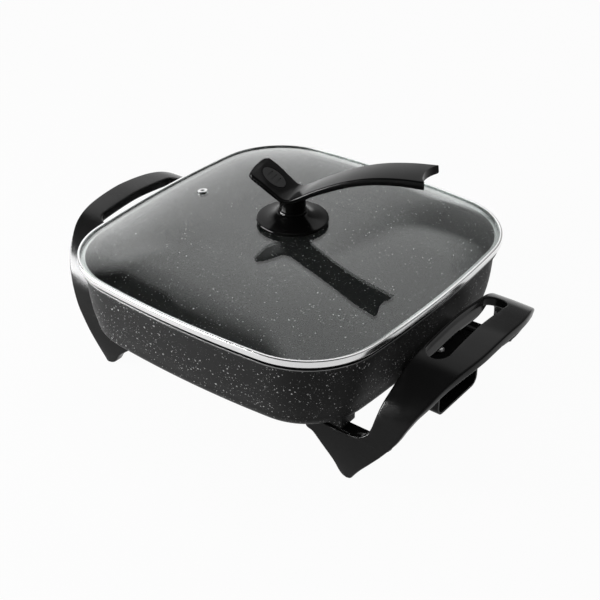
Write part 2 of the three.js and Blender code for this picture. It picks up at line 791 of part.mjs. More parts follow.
// The frame on the +X side; the other side is the same piece turned half a turn
function makeHandle() {
  const stations = handleStations();
  const frontHalf = [...stations].reverse().map((s) => handleRing(s, -1, frameSection));
  const backHalf = stations.slice(1).map((s) => handleRing(s, 1, frameSection));
  let handle = solidOf(loft([...frontHalf, ...backHalf], ['x', 'y']));
  const slot = new THREE.ExtrudeGeometry(slotShape(), {
    depth: handleHeight, bevelEnabled: false, curveSegments: 6,
  });
  slot.translate(0, 0, handleHeight / 2);
  handle = handle.subtract(solidOf(slot));
  const legTop = handleHeight * legTopShare;
  const legRange = stations.filter((s) => s.z > shelfHeight + handleWall && s.z < legTop);
  const footRange = stations.filter((s) => s.z < shelfBottom && s.z > handleWall);
  const footTopRow = { ...footRange[0], z: shelfBottom };
  for (const sign of [-1, 1]) {
    for (const range of [legRange, [footTopRow, ...footRange]]) {
      const ordered = sign < 0 ? [...range].reverse() : range;
      const pocket = loft(ordered.map((s) => handleRing(s, sign, pocketSection)), ['x', 'y']);
      handle = handle.subtract(solidOf(pocket));
    }
    const [y0, y1] = [sign * shelfBack, sign * shelfFront].sort((a, b) => a - b);
    handle = handle.add(solidOf(block([footInner, y0, shelfBottom], [shelfOuter, y1, shelfHeight])));
    const hole = rod(screwHoleRadius, shelfBottom - overrun, shelfHeight + overrun);
    hole.translate(postBlockX, sign * postScrewY, 0);
    handle = handle.subtract(solidOf(hole));
  }
  return geometryOf(handle);
}

// A screw that points up through the shelf of a foot
function makeHandleScrew(sign) {
  const seat = touchGap - shelfBottom;
  const screw = screwGeometry(seat, handleScrewLength);
  screw.rotateX(Math.PI);
  screw.translate(postBlockX, sign * postScrewY, 0);
  return screw;
}

// Lid band: a folded stainless section that grips the glass and hangs a flange inside the pan's mouth
function makeRim() {
  const bottom = rimTop - rimHeight;
  const lowSheetTop = bottom + rimSheet;
  const flangeEnd = panSeatTop + seatClearance;
  const section = [
    [0, bottom], [0, rimTop - rimBevel], [rimBevel, rimTop], [rimTopWidth - rimBevel / 2, rimTop],
    [rimTopWidth, rimTop - rimSheet / 2], [rimTopWidth - rimBevel / 2, rimTop - rimSheet],
    [rimWall, rimTop - rimSheet], [rimWall, lowSheetTop], [rimFlangeInset + rimSheet, lowSheetTop],
    [rimFlangeInset + rimSheet, flangeEnd], [rimFlangeInset, flangeEnd], [rimFlangeInset, bottom],
  ];
  const layers = section.map(([inset, z]) => {
    return squareOutline(lidHalfWidth - inset, lidCornerRadius - inset, z);
  });
  const rings = layers[0].map((_, i) => layers.map((layer) => layer[i]).reverse());
  return loopLoft(rings);
}

// Height of the glass's top above its edge, at a share of the way from the centre to the edge
function domeHeight(share) {
  return glassRise * (1 - share ** glassDomePowerShare);
}

const glassEdgeTop = rimTop - rimSheet - touchGap;
const glassHalfWidth = lidHalfWidth - rimWall - touchGap;
const glassShoulderHalf = lidHalfWidth - rimTopWidth - touchGap;
const glassCentreTop = glassEdgeTop + glassRise;
const glassCentreBottom = glassCentreTop - glassThickness;

// Domed glass with a flat edge under the band, a hole for the knob screw and one for the vent
function makeGlass() {
  const cornerShare = lidCornerRadius / lidHalfWidth;
  const ring = (half, z) => squareOutline(half, half * cornerShare, z);
  const top = glassRingShares.map((share) => {
    const half = glassShoulderHalf * share;
    return ring(half, glassEdgeTop + domeHeight(share));
  });
  const bottom = top.map((points) => points.map((p) => new THREE.Vector3(p.x, p.y, p.z - glassThickness)));
  const edgeBottom = glassEdgeTop - glassThickness;
  const rings = [
    ...bottom.reverse(), ring(glassShoulderHalf, edgeBottom), ring(glassHalfWidth, edgeBottom),
    ring(glassHalfWidth, glassEdgeTop), ring(glassShoulderHalf, glassEdgeTop), ...top,
  ];
  const tips = {
    first: new THREE.Vector3(0, 0, glassCentreBottom),
    last: new THREE.Vector3(0, 0, glassCentreTop),
  };
  let glass = solidOf(loft(rings, ['x', 'y'], tips));
  const knobHole = rod(knobBoreRadius, glassCentreBottom - overrun, glassCentreTop + overrun);
  const ventHole = rod(ventHoleRadius, -glassThickness - overrun, overrun);
  ventHole.applyMatrix4(ventPlace());
  glass = glass.subtract(solidOf(knobHole)).subtract(solidOf(ventHole));
  return geometryOf(glass);
}

// Place of the vent: on the glass, leaning with its slope
function ventPlace() {
  const share = ventDistance / glassShoulderHalf;
  const slope = (glassRise * glassDomePowerShare * share ** (glassDomePowerShare - 1)) / glassShoulderHalf;
  const height = glassEdgeTop + domeHeight(share);
  const place = new THREE.Matrix4().makeTranslation(-ventDistance, 0, height);
  return place.multiply(new THREE.Matrix4().makeRotationY(-Math.atan(slope)));
}

// Steam vent: a riveted eyelet with a flange on each face of the glass
function makeVent() {
  const under = -glassThickness - touchGap;
  const half = ventFlangeHeight / 2;
  const geometry = turned([
    [ventBoreRadius, under - ventFlangeHeight], [ventFlangeRadius - half, under - ventFlangeHeight],
    [ventFlangeRadius, under - half], [ventFlangeRadius, under], [ventTubeRadius, under],
    [ventTubeRadius, touchGap], [ventFlangeRadius, touchGap], [ventFlangeRadius, touchGap + half],
    [ventFlangeRadius - half, touchGap + ventFlangeHeight], [ventBoreRadius, touchGap + ventFlangeHeight],
    [ventBoreRadius, under - ventFlangeHeight],
  ], fineSides);
  geometry.applyMatrix4(ventPlace());
  return geometry;
}

// Stack of the knob on the glass, from the seal up
const sealBottom = glassCentreTop + touchGap;
const knobBottom = sealBottom + sealThickness + touchGap;
const knobTop = knobBottom + knobHeight;
const collarBottom = knobTop + touchGap;
const washerTop = glassCentreBottom - touchGap;
const knobScrewSeat = washerTop - washerThickness - touchGap;

// Disc of the knob, hollow underneath
function makeKnobBase() {
  const hollow = knobBottom + knobHollowDepth;
  const edge = knobBottom + knobEdgeHeight;
  const inside = knobRadius - knobEdgeBevel;
  return turned([
    [knobBoreRadius, knobBottom], [knobHubRadius, knobBottom], [knobHubRadius, hollow],
    [knobHollowRadius, hollow], [knobHollowRadius + knobEdgeBevel, knobBottom], [inside, knobBottom],
    [knobRadius, knobBottom + knobEdgeBevel], [knobRadius, edge], [inside, edge + knobEdgeBevel],
    [knobTopRadius, knobTop], [knobBoreRadius, knobTop], [knobBoreRadius, knobBottom],
  ], roundSides);
}

// Ring round the foot of the stem
function makeCollar() {
  const inner = stemRadius + touchGap;
  const bevel = (collarRadius - inner) / 2;
  const top = collarBottom + collarHeight;
  return turned([
    [inner, collarBottom], [collarRadius, collarBottom], [collarRadius, top - bevel],
    [collarRadius - bevel, top], [inner, top], [inner, collarBottom],
  ], roundSides);
}

// One row of the grip as real sizes: along, up, half width, thickness
function gripRow([along, up, width, thickness]) {
  return [along * gripLength, gripLowPoint + up * gripRise, width * gripHalfWidth, thickness * gripThickness];
}

// V-shaped ribbon with its stem, drawn along X and turned in place
function makeGrip() {
  const rows = gripRowShares.map(gripRow);
  const places = rows.map(([u, z]) => new THREE.Vector3(u, 0, z));
  const sizes = rows.map(([, , width, thickness]) => new THREE.Vector3(width, thickness, 0));
  const placeLine = new THREE.CatmullRomCurve3(places, false, 'catmullrom', 0.5);
  const sizeLine = new THREE.CatmullRomCurve3(sizes, false, 'catmullrom', 0.5);
  const rings = [];
  for (let i = 0; i <= gripSteps; i += 1) {
    const t = i / gripSteps;
    const place = placeLine.getPoint(t);
    const tangent = placeLine.getTangent(t);
    const { x: w, y: thick } = sizeLine.getPoint(t);
    const down = new THREE.Vector3(tangent.z, 0, -tangent.x);
    const r = gripEdgeRadius;
    const section = [
      [-w, thick - r], [-w + r, thick], [w - r, thick], [w, thick - r],
      [w, r], [w - r, 0], [-w + r, 0], [-w, r],
    ];
    const at = ([y, d]) => new THREE.Vector3(place.x + down.x * d, y, place.z + down.z * d);
    rings.push(section.map(at));
  }
  let grip = solidOf(loft(rings, ['y', 'z']));
  const stemBottom = collarBottom;
  const stemTop = gripLowPoint - gripThickness / 2;
  grip = grip.add(solidOf(rod(stemRadius, stemBottom, stemTop, roundSides)));
  const bore = rod(knobBoreRadius, stemBottom - overrun, knobScrewSeat + knobScrewReach + 2 * overrun);
  grip = grip.subtract(solidOf(bore));
  const notch = rod(tailNotchRadius, gripLowPoint, gripLowPoint + 2 * gripRise, roundSides);
  notch.translate(gripLength - tailNotchDepth + tailNotchRadius, 0, 0);
  grip = grip.subtract(solidOf(notch));
  const recess = ovalPlate(padHalfLength + touchGap, padHalfBreadth + touchGap, -padInlayThickness, overrun);
  recess.applyMatrix4(thumbPlace());
  return geometryOf(grip.subtract(solidOf(recess)));
}

// Place of the thumb pad on the short arm, leaning with it
function thumbPlace() {
  const rows = gripRowShares.map(gripRow);
  const high = rows[3];
  const low = rows[5];
  const slope = (high[1] - low[1]) / (high[0] - low[0]);
  const height = low[1] + slope * (-padAlong - low[0]);
  const place = new THREE.Matrix4().makeTranslation(-padAlong, 0, height);
  return place.multiply(new THREE.Matrix4().makeRotationY(-Math.atan(slope)));
}

// A flat oval plate between two heights
function ovalPlate(halfLength, halfBreadth, low, high) {
  const shape = new THREE.Shape();
  shape.absellipse(0, 0, halfLength, halfBreadth, 0, Math.PI * 2);
  const geometry = new THREE.ExtrudeGeometry(shape, {
    depth: high - low, bevelEnabled: false, curveSegments: fineSides / 2,
  });
  geometry.translate(0, 0, low);
  return geometry;
}

// Oval thumb pad with straight grooves across it
function makeThumbPad() {
  const low = -padInlayThickness + touchGap;
  let pad = solidOf(ovalPlate(padHalfLength, padHalfBreadth, low, padProud));
  for (let i = 0; i < padGrooveCount; i += 1) {
    const x = (i - (padGrooveCount - 1) / 2) * padGroovePitch;
    const reach = padHalfBreadth / 2;
    const grooveLow = [x - padGrooveWidth / 2, -reach, padProud - padGrooveDepth];
    const grooveHigh = [x + padGrooveWidth / 2, reach, padProud + overrun];
    pad = pad.subtract(solidOf(block(grooveLow, grooveHigh)));
  }
  const geometry = geometryOf(pad);
  geometry.applyMatrix4(thumbPlace());
  return geometry;
}

// Screw from inside the lid up into the stem
function makeKnobScrew() {
  const top = knobScrewSeat + knobScrewReach;
  const head = knobScrewSeat - knobScrewHeadHeight;
  const bevel = knobScrewHeadHeight / 3;
  return turned([
    [0, head], [knobScrewHeadRadius - bevel, head], [knobScrewHeadRadius, head + bevel],
    [knobScrewHeadRadius, knobScrewSeat], [knobScrewRadius, knobScrewSeat], [knobScrewRadius, top], [0, top],
  ], fineSides);
}

// A flat ring about the middle of the lid
function ringPlate(inner, outer, low, high) {
  return turned([[inner, low], [outer, low], [outer, high], [inner, high], [inner, low]], fineSides);
}

// The pan and its electrical parts
addPiece('pan_body', makePan(), finishes.coating);
addPiece('heating_element', makeElement(), finishes.sheath);
for (const [side, sign] of [['front', -1], ['back', 1]]) {
  addPiece(`terminal_insulator_${side}`, makeInsulator(sign * terminalOffset), finishes.ceramic);
  addPiece(`terminal_pin_${side}`, makePin(sign * terminalOffset), finishes.steel);
}
addPiece('probe_sleeve', makeProbeSleeve(), finishes.steel);
addPiece('socket_housing', makeHousing(), finishes.phenolic);
const socketScrew = screwGeometry(housingTopPlateTop + touchGap, socketScrewLength);
socketScrew.translate(housingScrewX, 0, 0);
addPiece('socket_screw', socketScrew, finishes.steel);

// The two handle frames
for (const [side, turn] of [['right', 0], ['left', Math.PI]]) {
  const frame = new THREE.Group();
  frame.rotation.z = turn;
  skillet.add(frame);
  addPiece(`${side}_handle`, makeHandle(), finishes.phenolic, frame);
  for (const [end, sign] of [['front', -1], ['back', 1]]) {
    const place = turn ? -sign : sign;
    addPiece(`${side}_handle_screw_${end}`, makeHandleScrew(place), finishes.steel, frame);
  }
}

// The lid
const lid = new THREE.Group();
skillet.add(lid);
addPiece('lid_glass', makeGlass(), finishes.glass, lid);
addPiece('lid_rim', makeRim(), finishes.stainless, lid);
addPiece('vent_eyelet', makeVent(), finishes.chrome, lid);
const seal = ringPlate(knobBoreRadius + touchGap, sealRadius, sealBottom, sealBottom + sealThickness);
addPiece('knob_seal', seal, finishes.silicone, lid);
addPiece('knob_base', makeKnobBase(), finishes.phenolic, lid);
addPiece('knob_collar', makeCollar(), finishes.phenolic, lid);
const washer = ringPlate(knobBoreRadius, washerRadius, washerTop - washerThickness, washerTop);
addPiece('knob_washer', washer, finishes.steel, lid);
addPiece('knob_screw', makeKnobScrew(), finishes.steel, lid);
const gripGroup = new THREE.Group();
gripGroup.rotation.z = THREE.MathUtils.degToRad(gripTurnDegrees);
lid.add(gripGroup);
addPiece('lid_grip', makeGrip(), finishes.phenolic, gripGroup);
addPiece('thumb_pad', makeThumbPad(), finishes.softTouch, gripGroup);

export default skillet;
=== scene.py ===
# Electric skillet: looks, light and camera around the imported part.
import math

import bmesh
import bpy
from mathutils import Matrix, Vector


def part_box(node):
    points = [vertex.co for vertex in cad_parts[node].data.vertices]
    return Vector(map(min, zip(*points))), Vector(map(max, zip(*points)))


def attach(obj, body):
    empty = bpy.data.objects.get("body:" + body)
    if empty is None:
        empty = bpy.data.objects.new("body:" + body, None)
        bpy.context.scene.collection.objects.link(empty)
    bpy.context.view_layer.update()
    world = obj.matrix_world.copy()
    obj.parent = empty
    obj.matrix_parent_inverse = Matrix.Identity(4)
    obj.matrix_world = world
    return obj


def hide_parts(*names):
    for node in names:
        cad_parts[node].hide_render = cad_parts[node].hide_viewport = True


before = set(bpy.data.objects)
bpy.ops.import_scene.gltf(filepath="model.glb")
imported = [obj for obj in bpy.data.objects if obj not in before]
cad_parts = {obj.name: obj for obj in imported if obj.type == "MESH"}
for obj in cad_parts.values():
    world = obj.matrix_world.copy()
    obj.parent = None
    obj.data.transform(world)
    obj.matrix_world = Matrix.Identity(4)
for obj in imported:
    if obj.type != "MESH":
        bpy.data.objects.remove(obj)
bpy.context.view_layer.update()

MM = 0.001


def box_of(node):
    """Lowest and highest corner of a node of the part, in millimetres."""
    return [[round(value / MM, 2) for value in corner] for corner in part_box(node)]


# Boxes and sizes that several refined pieces follow, in millimetres
PAN_LOW, PAN_HIGH = box_of("pan_body")
RIM_LOW, RIM_HIGH = box_of("lid_rim")
GLASS_LOW, GLASS_HIGH = box_of("lid_glass")
LID_HALF_WIDTH, LID_HALF_DEPTH, RIM_TOP = RIM_HIGH
LID_EXTRA_DEPTH = LID_HALF_DEPTH - LID_HALF_WIDTH
LID_CORNER = 70
SIDE_BULGE = 3.7
SCREW_HOLE = 2.6

# How fine the refined pieces are
CORNER_STEPS = 22
SIDE_STEPS = 16
ROUND_STEPS = 6


# Meshes

def add_object(name, mesh):
    """An object in the scene that shows a mesh."""
    obj = bpy.data.objects.new(name, mesh)
    bpy.context.scene.collection.objects.link(obj)
    return obj


def make_object(name, points, faces):
    """A mesh object from points in millimetres, with its faces turned outwards."""
    mesh = bpy.data.meshes.new(name)
    mesh.from_pydata([Vector(p) * MM for p in points], [], faces)
    work = bmesh.new()
    work.from_mesh(mesh)
    bmesh.ops.remove_doubles(work, verts=work.verts, dist=1e-7)
    bmesh.ops.recalc_face_normals(work, faces=work.faces)
    work.to_mesh(mesh)
    work.free()
    return add_object(name, mesh)


def loft(name, rings, closed=False, caps="flat"):
    """Skins rings that all hold the same count of points."""
    count = len(rings[0])
    points = [p for ring in rings for p in ring]
    faces = []
    last = len(rings) if closed else len(rings) - 1
    for r in range(last):
        low = r * count
        high = (r + 1) % len(rings) * count
        for i in range(count):
            j = (i + 1) % count
            faces.append((low + i, low + j, high + j, high + i))
    if not closed:
        for start in (0, (len(rings) - 1) * count):
            ends = [start + i for i in range(count)]
            if caps == "flat":
                faces.append(ends)
                continue
            middle = len(points)
            points.append(tuple(sum(points[k][axis] for k in ends) / count for axis in range(3)))
            for i in range(count):
                faces.append((ends[i], ends[(i + 1) % count], middle))
    return make_object(name, points, faces)


def circle(radius, sides):
    """Points round the origin."""
    turns = [2 * math.pi * k / sides for k in range(sides)]
    return [(radius * math.cos(a), radius * math.sin(a)) for a in turns]


def turned(name, profile, base, sides=96):
    """A closed profile of radius and height above a base, turned about Z."""
    rings = [[(r * x, r * y, base + z) for r, z in profile] for x, y in circle(1, sides)]
    return loft(name, rings, closed=True)


def rod(name, radius, low, high, centre=(0, 0), sides=32):
    """A cylinder along Z."""
    ring = [(centre[0] + x, centre[1] + y) for x, y in circle(radius, sides)]
    return loft(name, [[(x, y, z) for x, y in ring] for z in (low, high)])


def rounded_block(name, low, high, radius, steps=4):
    """A box with rounded edges, between two corners."""
    work = bmesh.new()
    bmesh.ops.create_cube(work, size=1)
    for v in work.verts:
        v.co = Vector([(lo + hi) / 2 + c * (hi - lo) for c, lo, hi in zip(v.co, low, high)]) * MM
    bmesh.ops.bevel(work, geom=work.edges[:], offset=radius * MM, segments=steps, profile=0.5, affect="EDGES")
    mesh = bpy.data.meshes.new(name)
    work.to_mesh(mesh)
    work.free()
    return add_object(name, mesh)


def carve(obj, cutter, operation="DIFFERENCE"):
    """Cuts one object with another, or joins it, and keeps the result as the mesh."""
    modifier = obj.modifiers.new("carve", "BOOLEAN")
    modifier.operation = operation
    modifier.solver = "EXACT"
    modifier.object = cutter
    graph = bpy.context.evaluated_depsgraph_get()
    mesh = bpy.data.meshes.new_from_object(obj.evaluated_get(graph))
    obj.modifiers.clear()
    obj.data = mesh
    bpy.data.objects.remove(cutter)


def join(obj, *others):
    """Puts the meshes of other objects into one."""
    work = bmesh.new()
    for o in (obj, *others):
        work.from_mesh(o.data)
    work.to_mesh(obj.data)
    work.free()
    for o in others:
        bpy.data.objects.remove(o)


def polish(obj, angle=32):
    """Smooth shading with the sharp edges kept."""
    obj.data.shade_smooth()
    obj.data.set_sharp_from_angle(angle=math.radians(angle))


def soften(obj, angle=32):
    """Smooth shading for a node of the part, whose points and faces stay as they are."""
    mesh = obj.data
    for name in ("custom_normal", "sharp_edge"):
        if name in mesh.attributes:
            mesh.attributes.remove(mesh.attributes[name])
    mesh.shade_smooth()
    weld = obj.modifiers.new("weld", "WELD")
    weld.merge_threshold = 1e-6
    split = obj.modifiers.new("split", "EDGE_SPLIT")
    split.split_angle = math.radians(angle)


def curve_value(t, before, start, end, after):
    """One number on a Catmull-Rom curve."""
    lead, tail = (end - before) / 2, (after - start) / 2
    rise = end - start
    return start + lead * t + (3 * rise - 2 * lead - tail) * t * t + (lead + tail - 2 * rise) * t ** 3


def spline_through(rows, steps):
    """Points of a smooth line through rows of numbers, with its ends included."""
    out = []
    for i in range(len(rows) - 1):
        before = rows[i - 1] if i else [2 * a - b for a, b in zip(rows[0], rows[1])]
        after = rows[i + 2] if i + 2 < len(rows) else [2 * a - b for a, b in zip(rows[-1], rows[-2])]
        for k in range(steps):
            t = k / steps
            out.append([curve_value(t, *values) for values in zip(before, rows[i], rows[i + 1], after)])
    out.append(list(rows[-1]))
    return out


def quarter_turn(steps, first=0, last=None):
    """Angles of a quarter circle in even steps, from one step to another."""
    return [i / steps * math.pi / 2 for i in range(first, (steps if last is None else last) + 1)]


def square_outline(half, corner, z):
    """A square with round corners and sides that bulge slightly, anticlockwise from the +X side."""
    bulge = SIDE_BULGE * half / LID_HALF_WIDTH
    halves = (half, half + LID_EXTRA_DEPTH)
    centre = [h - bulge - corner for h in halves]
    arcs = [((corner + bulge) ** 2 + across ** 2 - corner ** 2) / (2 * bulge) for across in reversed(centre)]
    leans = [math.asin(across / (arc - corner)) for arc, across in zip(arcs, reversed(centre))]
    points = []
    for quarter in range(4):
        sign_x = 1 if quarter in (0, 3) else -1
        sign_y = 1 if quarter < 2 else -1
        start = quarter * math.pi / 2 + leans[quarter % 2]
        stop = (quarter + 1) * math.pi / 2 - leans[(quarter + 1) % 2]
        for i in range(CORNER_STEPS + 1):
            a = start + (stop - start) * i / CORNER_STEPS
            x = sign_x * centre[0] + corner * math.cos(a)
            y = sign_y * centre[1] + corner * math.sin(a)
            points.append((x, y, z))
        side = (quarter + 1) % 2
        middle = (quarter + 1) * math.pi / 2
        reach = halves[side] - arcs[side]
        for i in range(1, SIDE_STEPS):
            a = middle + leans[side] * (2 * i / SIDE_STEPS - 1)
            x = math.cos(middle) * reach + arcs[side] * math.cos(a)
            y = math.sin(middle) * reach + arcs[side] * math.sin(a)
            points.append((x, y, z))
    return points


# Pan

PAN_BOTTOM = 46.5
PAN_BOTTOM_HALF = 104
PAN_SHOULDER = 66
PAN_OUTER = 138
PAN_FLOOR = 64
PAN_FLOOR_HALF = 98
PAN_INNER_SHOULDER = 82
PAN_INNER = 133.6
PAN_ROUND_STEPS = 14
PAN_WALL_STEPS = 5
CORNER_TIGHTENING = 0.6
RECESS_HALF = 99
RECESS_CEILING = 56.4
RECESS_EDGE = 0.5
LIP_HALF, LIP_TOP = PAN_HIGH[1] - LID_EXTRA_DEPTH, PAN_HIGH[2]
LIP_EDGE = 116.2

# Walls above the shoulders, outside and inside, as half width and height
PAN_WALL = [(PAN_OUTER, PAN_SHOULDER), (140.9, 78), (142.7, 91.05), (143.5, 104), (143.6, 114.2)]
PAN_INSIDE = [(139, 105), (138.2, 91), (PAN_INNER, PAN_INNER_SHOULDER)]
# The lip as distances in from its outermost edge and down from its top
LIP_PROFILE = [
    (3.1, 6.2), (0.9, 6), (0.2, 5.6), (0, 5), (0.15, 4.5), (0.5, 4.2), (0.8, 4.1), (1, 3.8), (2.1, 3.7),
    (2.35, 3.5), (2.4, 0.5), (2.7, 0), (3.2, 0), (3.5, 0.3), (3.5, 2.2), (7.2, 2.2), (7.9, 2.5), (8.2, 3.1),
]
# Blocks under the pan: two opposite corners and the rounding
SOCKET_PAD = ((128, -27, PAN_BOTTOM), (140.7, 27, 68), 1.2)
SOCKET_LUG = ((134.4, -12, 62.7), (PAN_HIGH[0], 12, 71.7), 0.9)
POST_SPAN_X = (97, 122.5)
POST_SPAN_Y = (78, 96.5)
POST_SPAN_Z = (PAN_LOW[2], 56.8)
POST_ROUND = 1.5


def pan_corner(half, shoulder):
    """Corner radius of the pan: parallel to the lid down to the shoulder, then tightening less."""
    parallel = LID_CORNER - (LID_HALF_WIDTH - max(half, shoulder))
    return parallel - CORNER_TIGHTENING * max(0, shoulder - half)


def pan_round(flat_half, flat_height, shoulder, shoulder_height):
    """Quarter ellipse from the flat of a bottom or floor up to its shoulder."""
    width, height = shoulder - flat_half, flat_height - shoulder_height
    turns = quarter_turn(PAN_ROUND_STEPS)
    return [(flat_half + width * math.sin(a), shoulder_height + height * math.cos(a)) for a in turns]


def mirrored_span(span, sign):
    """A span of one axis on either side of the middle, in rising order."""
    return sorted(sign * value for value in span)


def make_pan():
    """The cast pan: recess, outside, lip and inside, with the pads and posts under it."""
    outside = [(RECESS_HALF, RECESS_CEILING), (RECESS_HALF, PAN_BOTTOM + RECESS_EDGE)]
    outside.append((RECESS_HALF + RECESS_EDGE, PAN_BOTTOM))
    outside += pan_round(PAN_BOTTOM_HALF, PAN_BOTTOM, PAN_OUTER, PAN_SHOULDER)
    outside += spline_through(PAN_WALL, PAN_WALL_STEPS)[1:]
    outside += [(LIP_HALF - inset, LIP_TOP - drop) for inset, drop in LIP_PROFILE]
    inside = spline_through([outside[-1], *PAN_INSIDE], PAN_WALL_STEPS)[1:-1]
    inside += reversed(pan_round(PAN_FLOOR_HALF, PAN_FLOOR, PAN_INNER, PAN_INNER_SHOULDER))
    rings = [square_outline(half, pan_corner(half, PAN_OUTER), z) for half, z in outside]
    rings += [square_outline(half, pan_corner(half, PAN_INNER), z) for half, z in inside]
    pan = loft("pan_shell", rings, caps="fan")
    parts = [rounded_block("pad", *SOCKET_PAD), rounded_block("lug", *SOCKET_LUG)]
    for sign_x in (-1, 1):
        for sign_y in (-1, 1):
            spans = (mirrored_span(POST_SPAN_X, sign_x), mirrored_span(POST_SPAN_Y, sign_y), POST_SPAN_Z)
            parts.append(rounded_block("post", *zip(*spans), POST_ROUND))
    join(pan, *parts)
    polish(pan)
    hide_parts("pan_body")
    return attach(pan, "base")


# Handle frames

HANDLE_REACH = box_of("right_handle")[1][0]
HANDLE_EDGE = 2
HANDLE_LOWER_EDGE = 1.5
HANDLE_CROWN = 0.3
HANDLE_WALL = 3
SHELF_TOP = 40.5
SHELF_BOTTOM = 36
SHELF_SPAN_X = (88.5, 142)
SHELF_SPAN_Y = (84, 96)
SHELF_ROUND = 0.5
SHELF_HOLE = 2.3
SHELF_HOLE_SPAN = (30, 45)
SHARP_REACH = 8
SIDE_SHARE = 0.6
LEG_TOP = 95
LEAN_GAIN = 1.1
ARCH_STEPS = 5
FOOT_STEPS = 3
FACE_STEPS = 12

# Rows from the middle of the grip down to the shelf: across, up, inner edge, outer edge, thickness
ARCH_ROWS = [
    (0, 112, 160, HANDLE_REACH, 8), (13.7, 111.4, 160, 206.9, 8), (27.1, 110.2, 160, 206.4, 8),
    (40, 108.7, 159.9, 204.9, 8), (52.2, 106.2, 159.2, 202.3, 8), (63.1, 101.6, 158.4, 199.1, 8),
    (72.6, 94.5, 157.2, 194.7, 8), (81.3, 85.4, 155.4, 190, 8), (88.4, 75.3, 152.8, 184.4, 7.8),
    (93.2, 63.4, 150.4, 178.6, 7.6), (95.3, 55, 148.7, 174.9, 7.4), (96.4, 50.2, 147, 172.4, 7.4),
    (97.5, 45.5, 143.6, 169.6, 7.4), (98, 43, 140.2, 168, 7.4), (98.3, 41.4, 135, 166.9, 7.4),
    (98.5, 40.7, 128, 166.4, 7.4),
]
# Rows of the foot from the shelf down to the ground
FOOT_ROWS = [
    (98.6, SHELF_TOP, 88.5, 166.2, 7.4), (99.6, 33.5, 88.5, 160.9, 7.5), (100, 31, 89.3, 159, 7.6),
    (100.3, 29.3, 95.5, 157.5, 7.8), (101.2, 22, 105, 151.4, 8.2), (101.6, 12, 116.6, 143, 8.6),
    (101.2, 4.5, 121.8, 137.6, 8.8), (101, 1.8, 124, 135.8, 8.8), (101, 0.5, 125.9, 135, 8.8),
    (101, 0, 127.4, 134.5, 8.6),
]

# The finger slot, its rounded edges above and below, and the wall under it on the pan's side
SLOT_NEAR = 162.5
SLOT_FAR = 183
SLOT_HALF = 51
SLOT_RADIUS = 9.5
SLOT_TOP_ROUND = 1.5
SLOT_LOW_ROUND = 2.2
SLOT_DEPTH = 8.8
SLOT_OVERRUN = 6
SLOT_RUNS = 20
SLOT_CORNER_STEPS = 8
GRIP_HALF = 75
FACE_MIDDLE = 183.5
FACE_HALF = 21.5
SKIRT_HALF = 50
SKIRT_TOP = 2
SKIRT_END_DEPTH = 10
SKIRT_EXTRA_DEPTH = 9
SKIRT_INSET = 0.2
SKIRT_ROLL = 2.5
SKIRT_STEPS = 12


def handle_stations():
    """Finely spaced rows of half the frame, each with the way inwards as an angle from down."""
    mirrored = (-ARCH_ROWS[1][0], *ARCH_ROWS[1][1:])
    rows = spline_through([mirrored, *ARCH_ROWS], ARCH_STEPS)[ARCH_STEPS:]
    stations = []
    for i, row in enumerate(rows):
        after = rows[min(i + 1, len(rows) - 1)]
        before = rows[max(i - 1, 0)]
        lean = math.atan2(before[1] - after[1], after[0] - before[0]) * LEAN_GAIN
        angle = 0 if i == 0 else min(math.pi / 2, max(0, lean))
        stations.append((*row, angle))
    for row in spline_through(FOOT_ROWS, FOOT_STEPS):
        stations.append((*row, math.pi / 2))
    return stations


def handle_ring(station, sign, section):
    """A cross-section placed at a station, with its inner edge sharper near the shelf."""
    y, z, inner, outer, depth, angle = station
    near = HANDLE_EDGE * min(1, max(0.1, abs(z - SHELF_TOP) / SHARP_REACH))
    in_y, in_z = -math.sin(angle) * sign, -math.cos(angle)
    return [(x, sign * y + in_y * d, z + in_z * d) for x, d in section(inner, outer, depth, near)]


def frame_section(inner, outer, depth, near):
    """Flat back, slightly crowned face and round edges, as points across and into the frame."""
    far, lower = HANDLE_EDGE, HANDLE_LOWER_EDGE
    points = [(inner, depth - 1), (inner, depth * SIDE_SHARE), (inner, near)]
    for a in quarter_turn(ROUND_STEPS, 1, ROUND_STEPS - 1):
        points.append((inner + near * (1 - math.cos(a)), near * (1 - math.sin(a))))
    low, high = inner + near, outer - far
    for i in range(FACE_STEPS + 1):
        t = math.sin((i / FACE_STEPS * 2 - 1) * math.pi / 2)
        points.append(((low + high) / 2 + (high - low) / 2 * t, -HANDLE_CROWN * (1 - t * t)))
    for a in reversed(quarter_turn(ROUND_STEPS, 1, ROUND_STEPS - 1)):
        points.append((outer - far * (1 - math.cos(a)), far * (1 - math.sin(a))))
    points += [(outer, far), (outer, depth * SIDE_SHARE)]
    for a in quarter_turn(ROUND_STEPS - 1):
        points.append((outer - lower * (1 - math.cos(a)), depth - lower * (1 - math.sin(a))))
    points += [(inner + 1, depth), (inner + 0.3, depth - 0.3)]
    return points


def pocket_section(inner, outer, depth, _):
    """Hollow behind a leg or foot."""
    low, high = inner + HANDLE_WALL, outer - HANDLE_WALL
    return [(low, depth + HANDLE_WALL), (low, HANDLE_WALL), (high, HANDLE_WALL), (high, depth + HANDLE_WALL)]


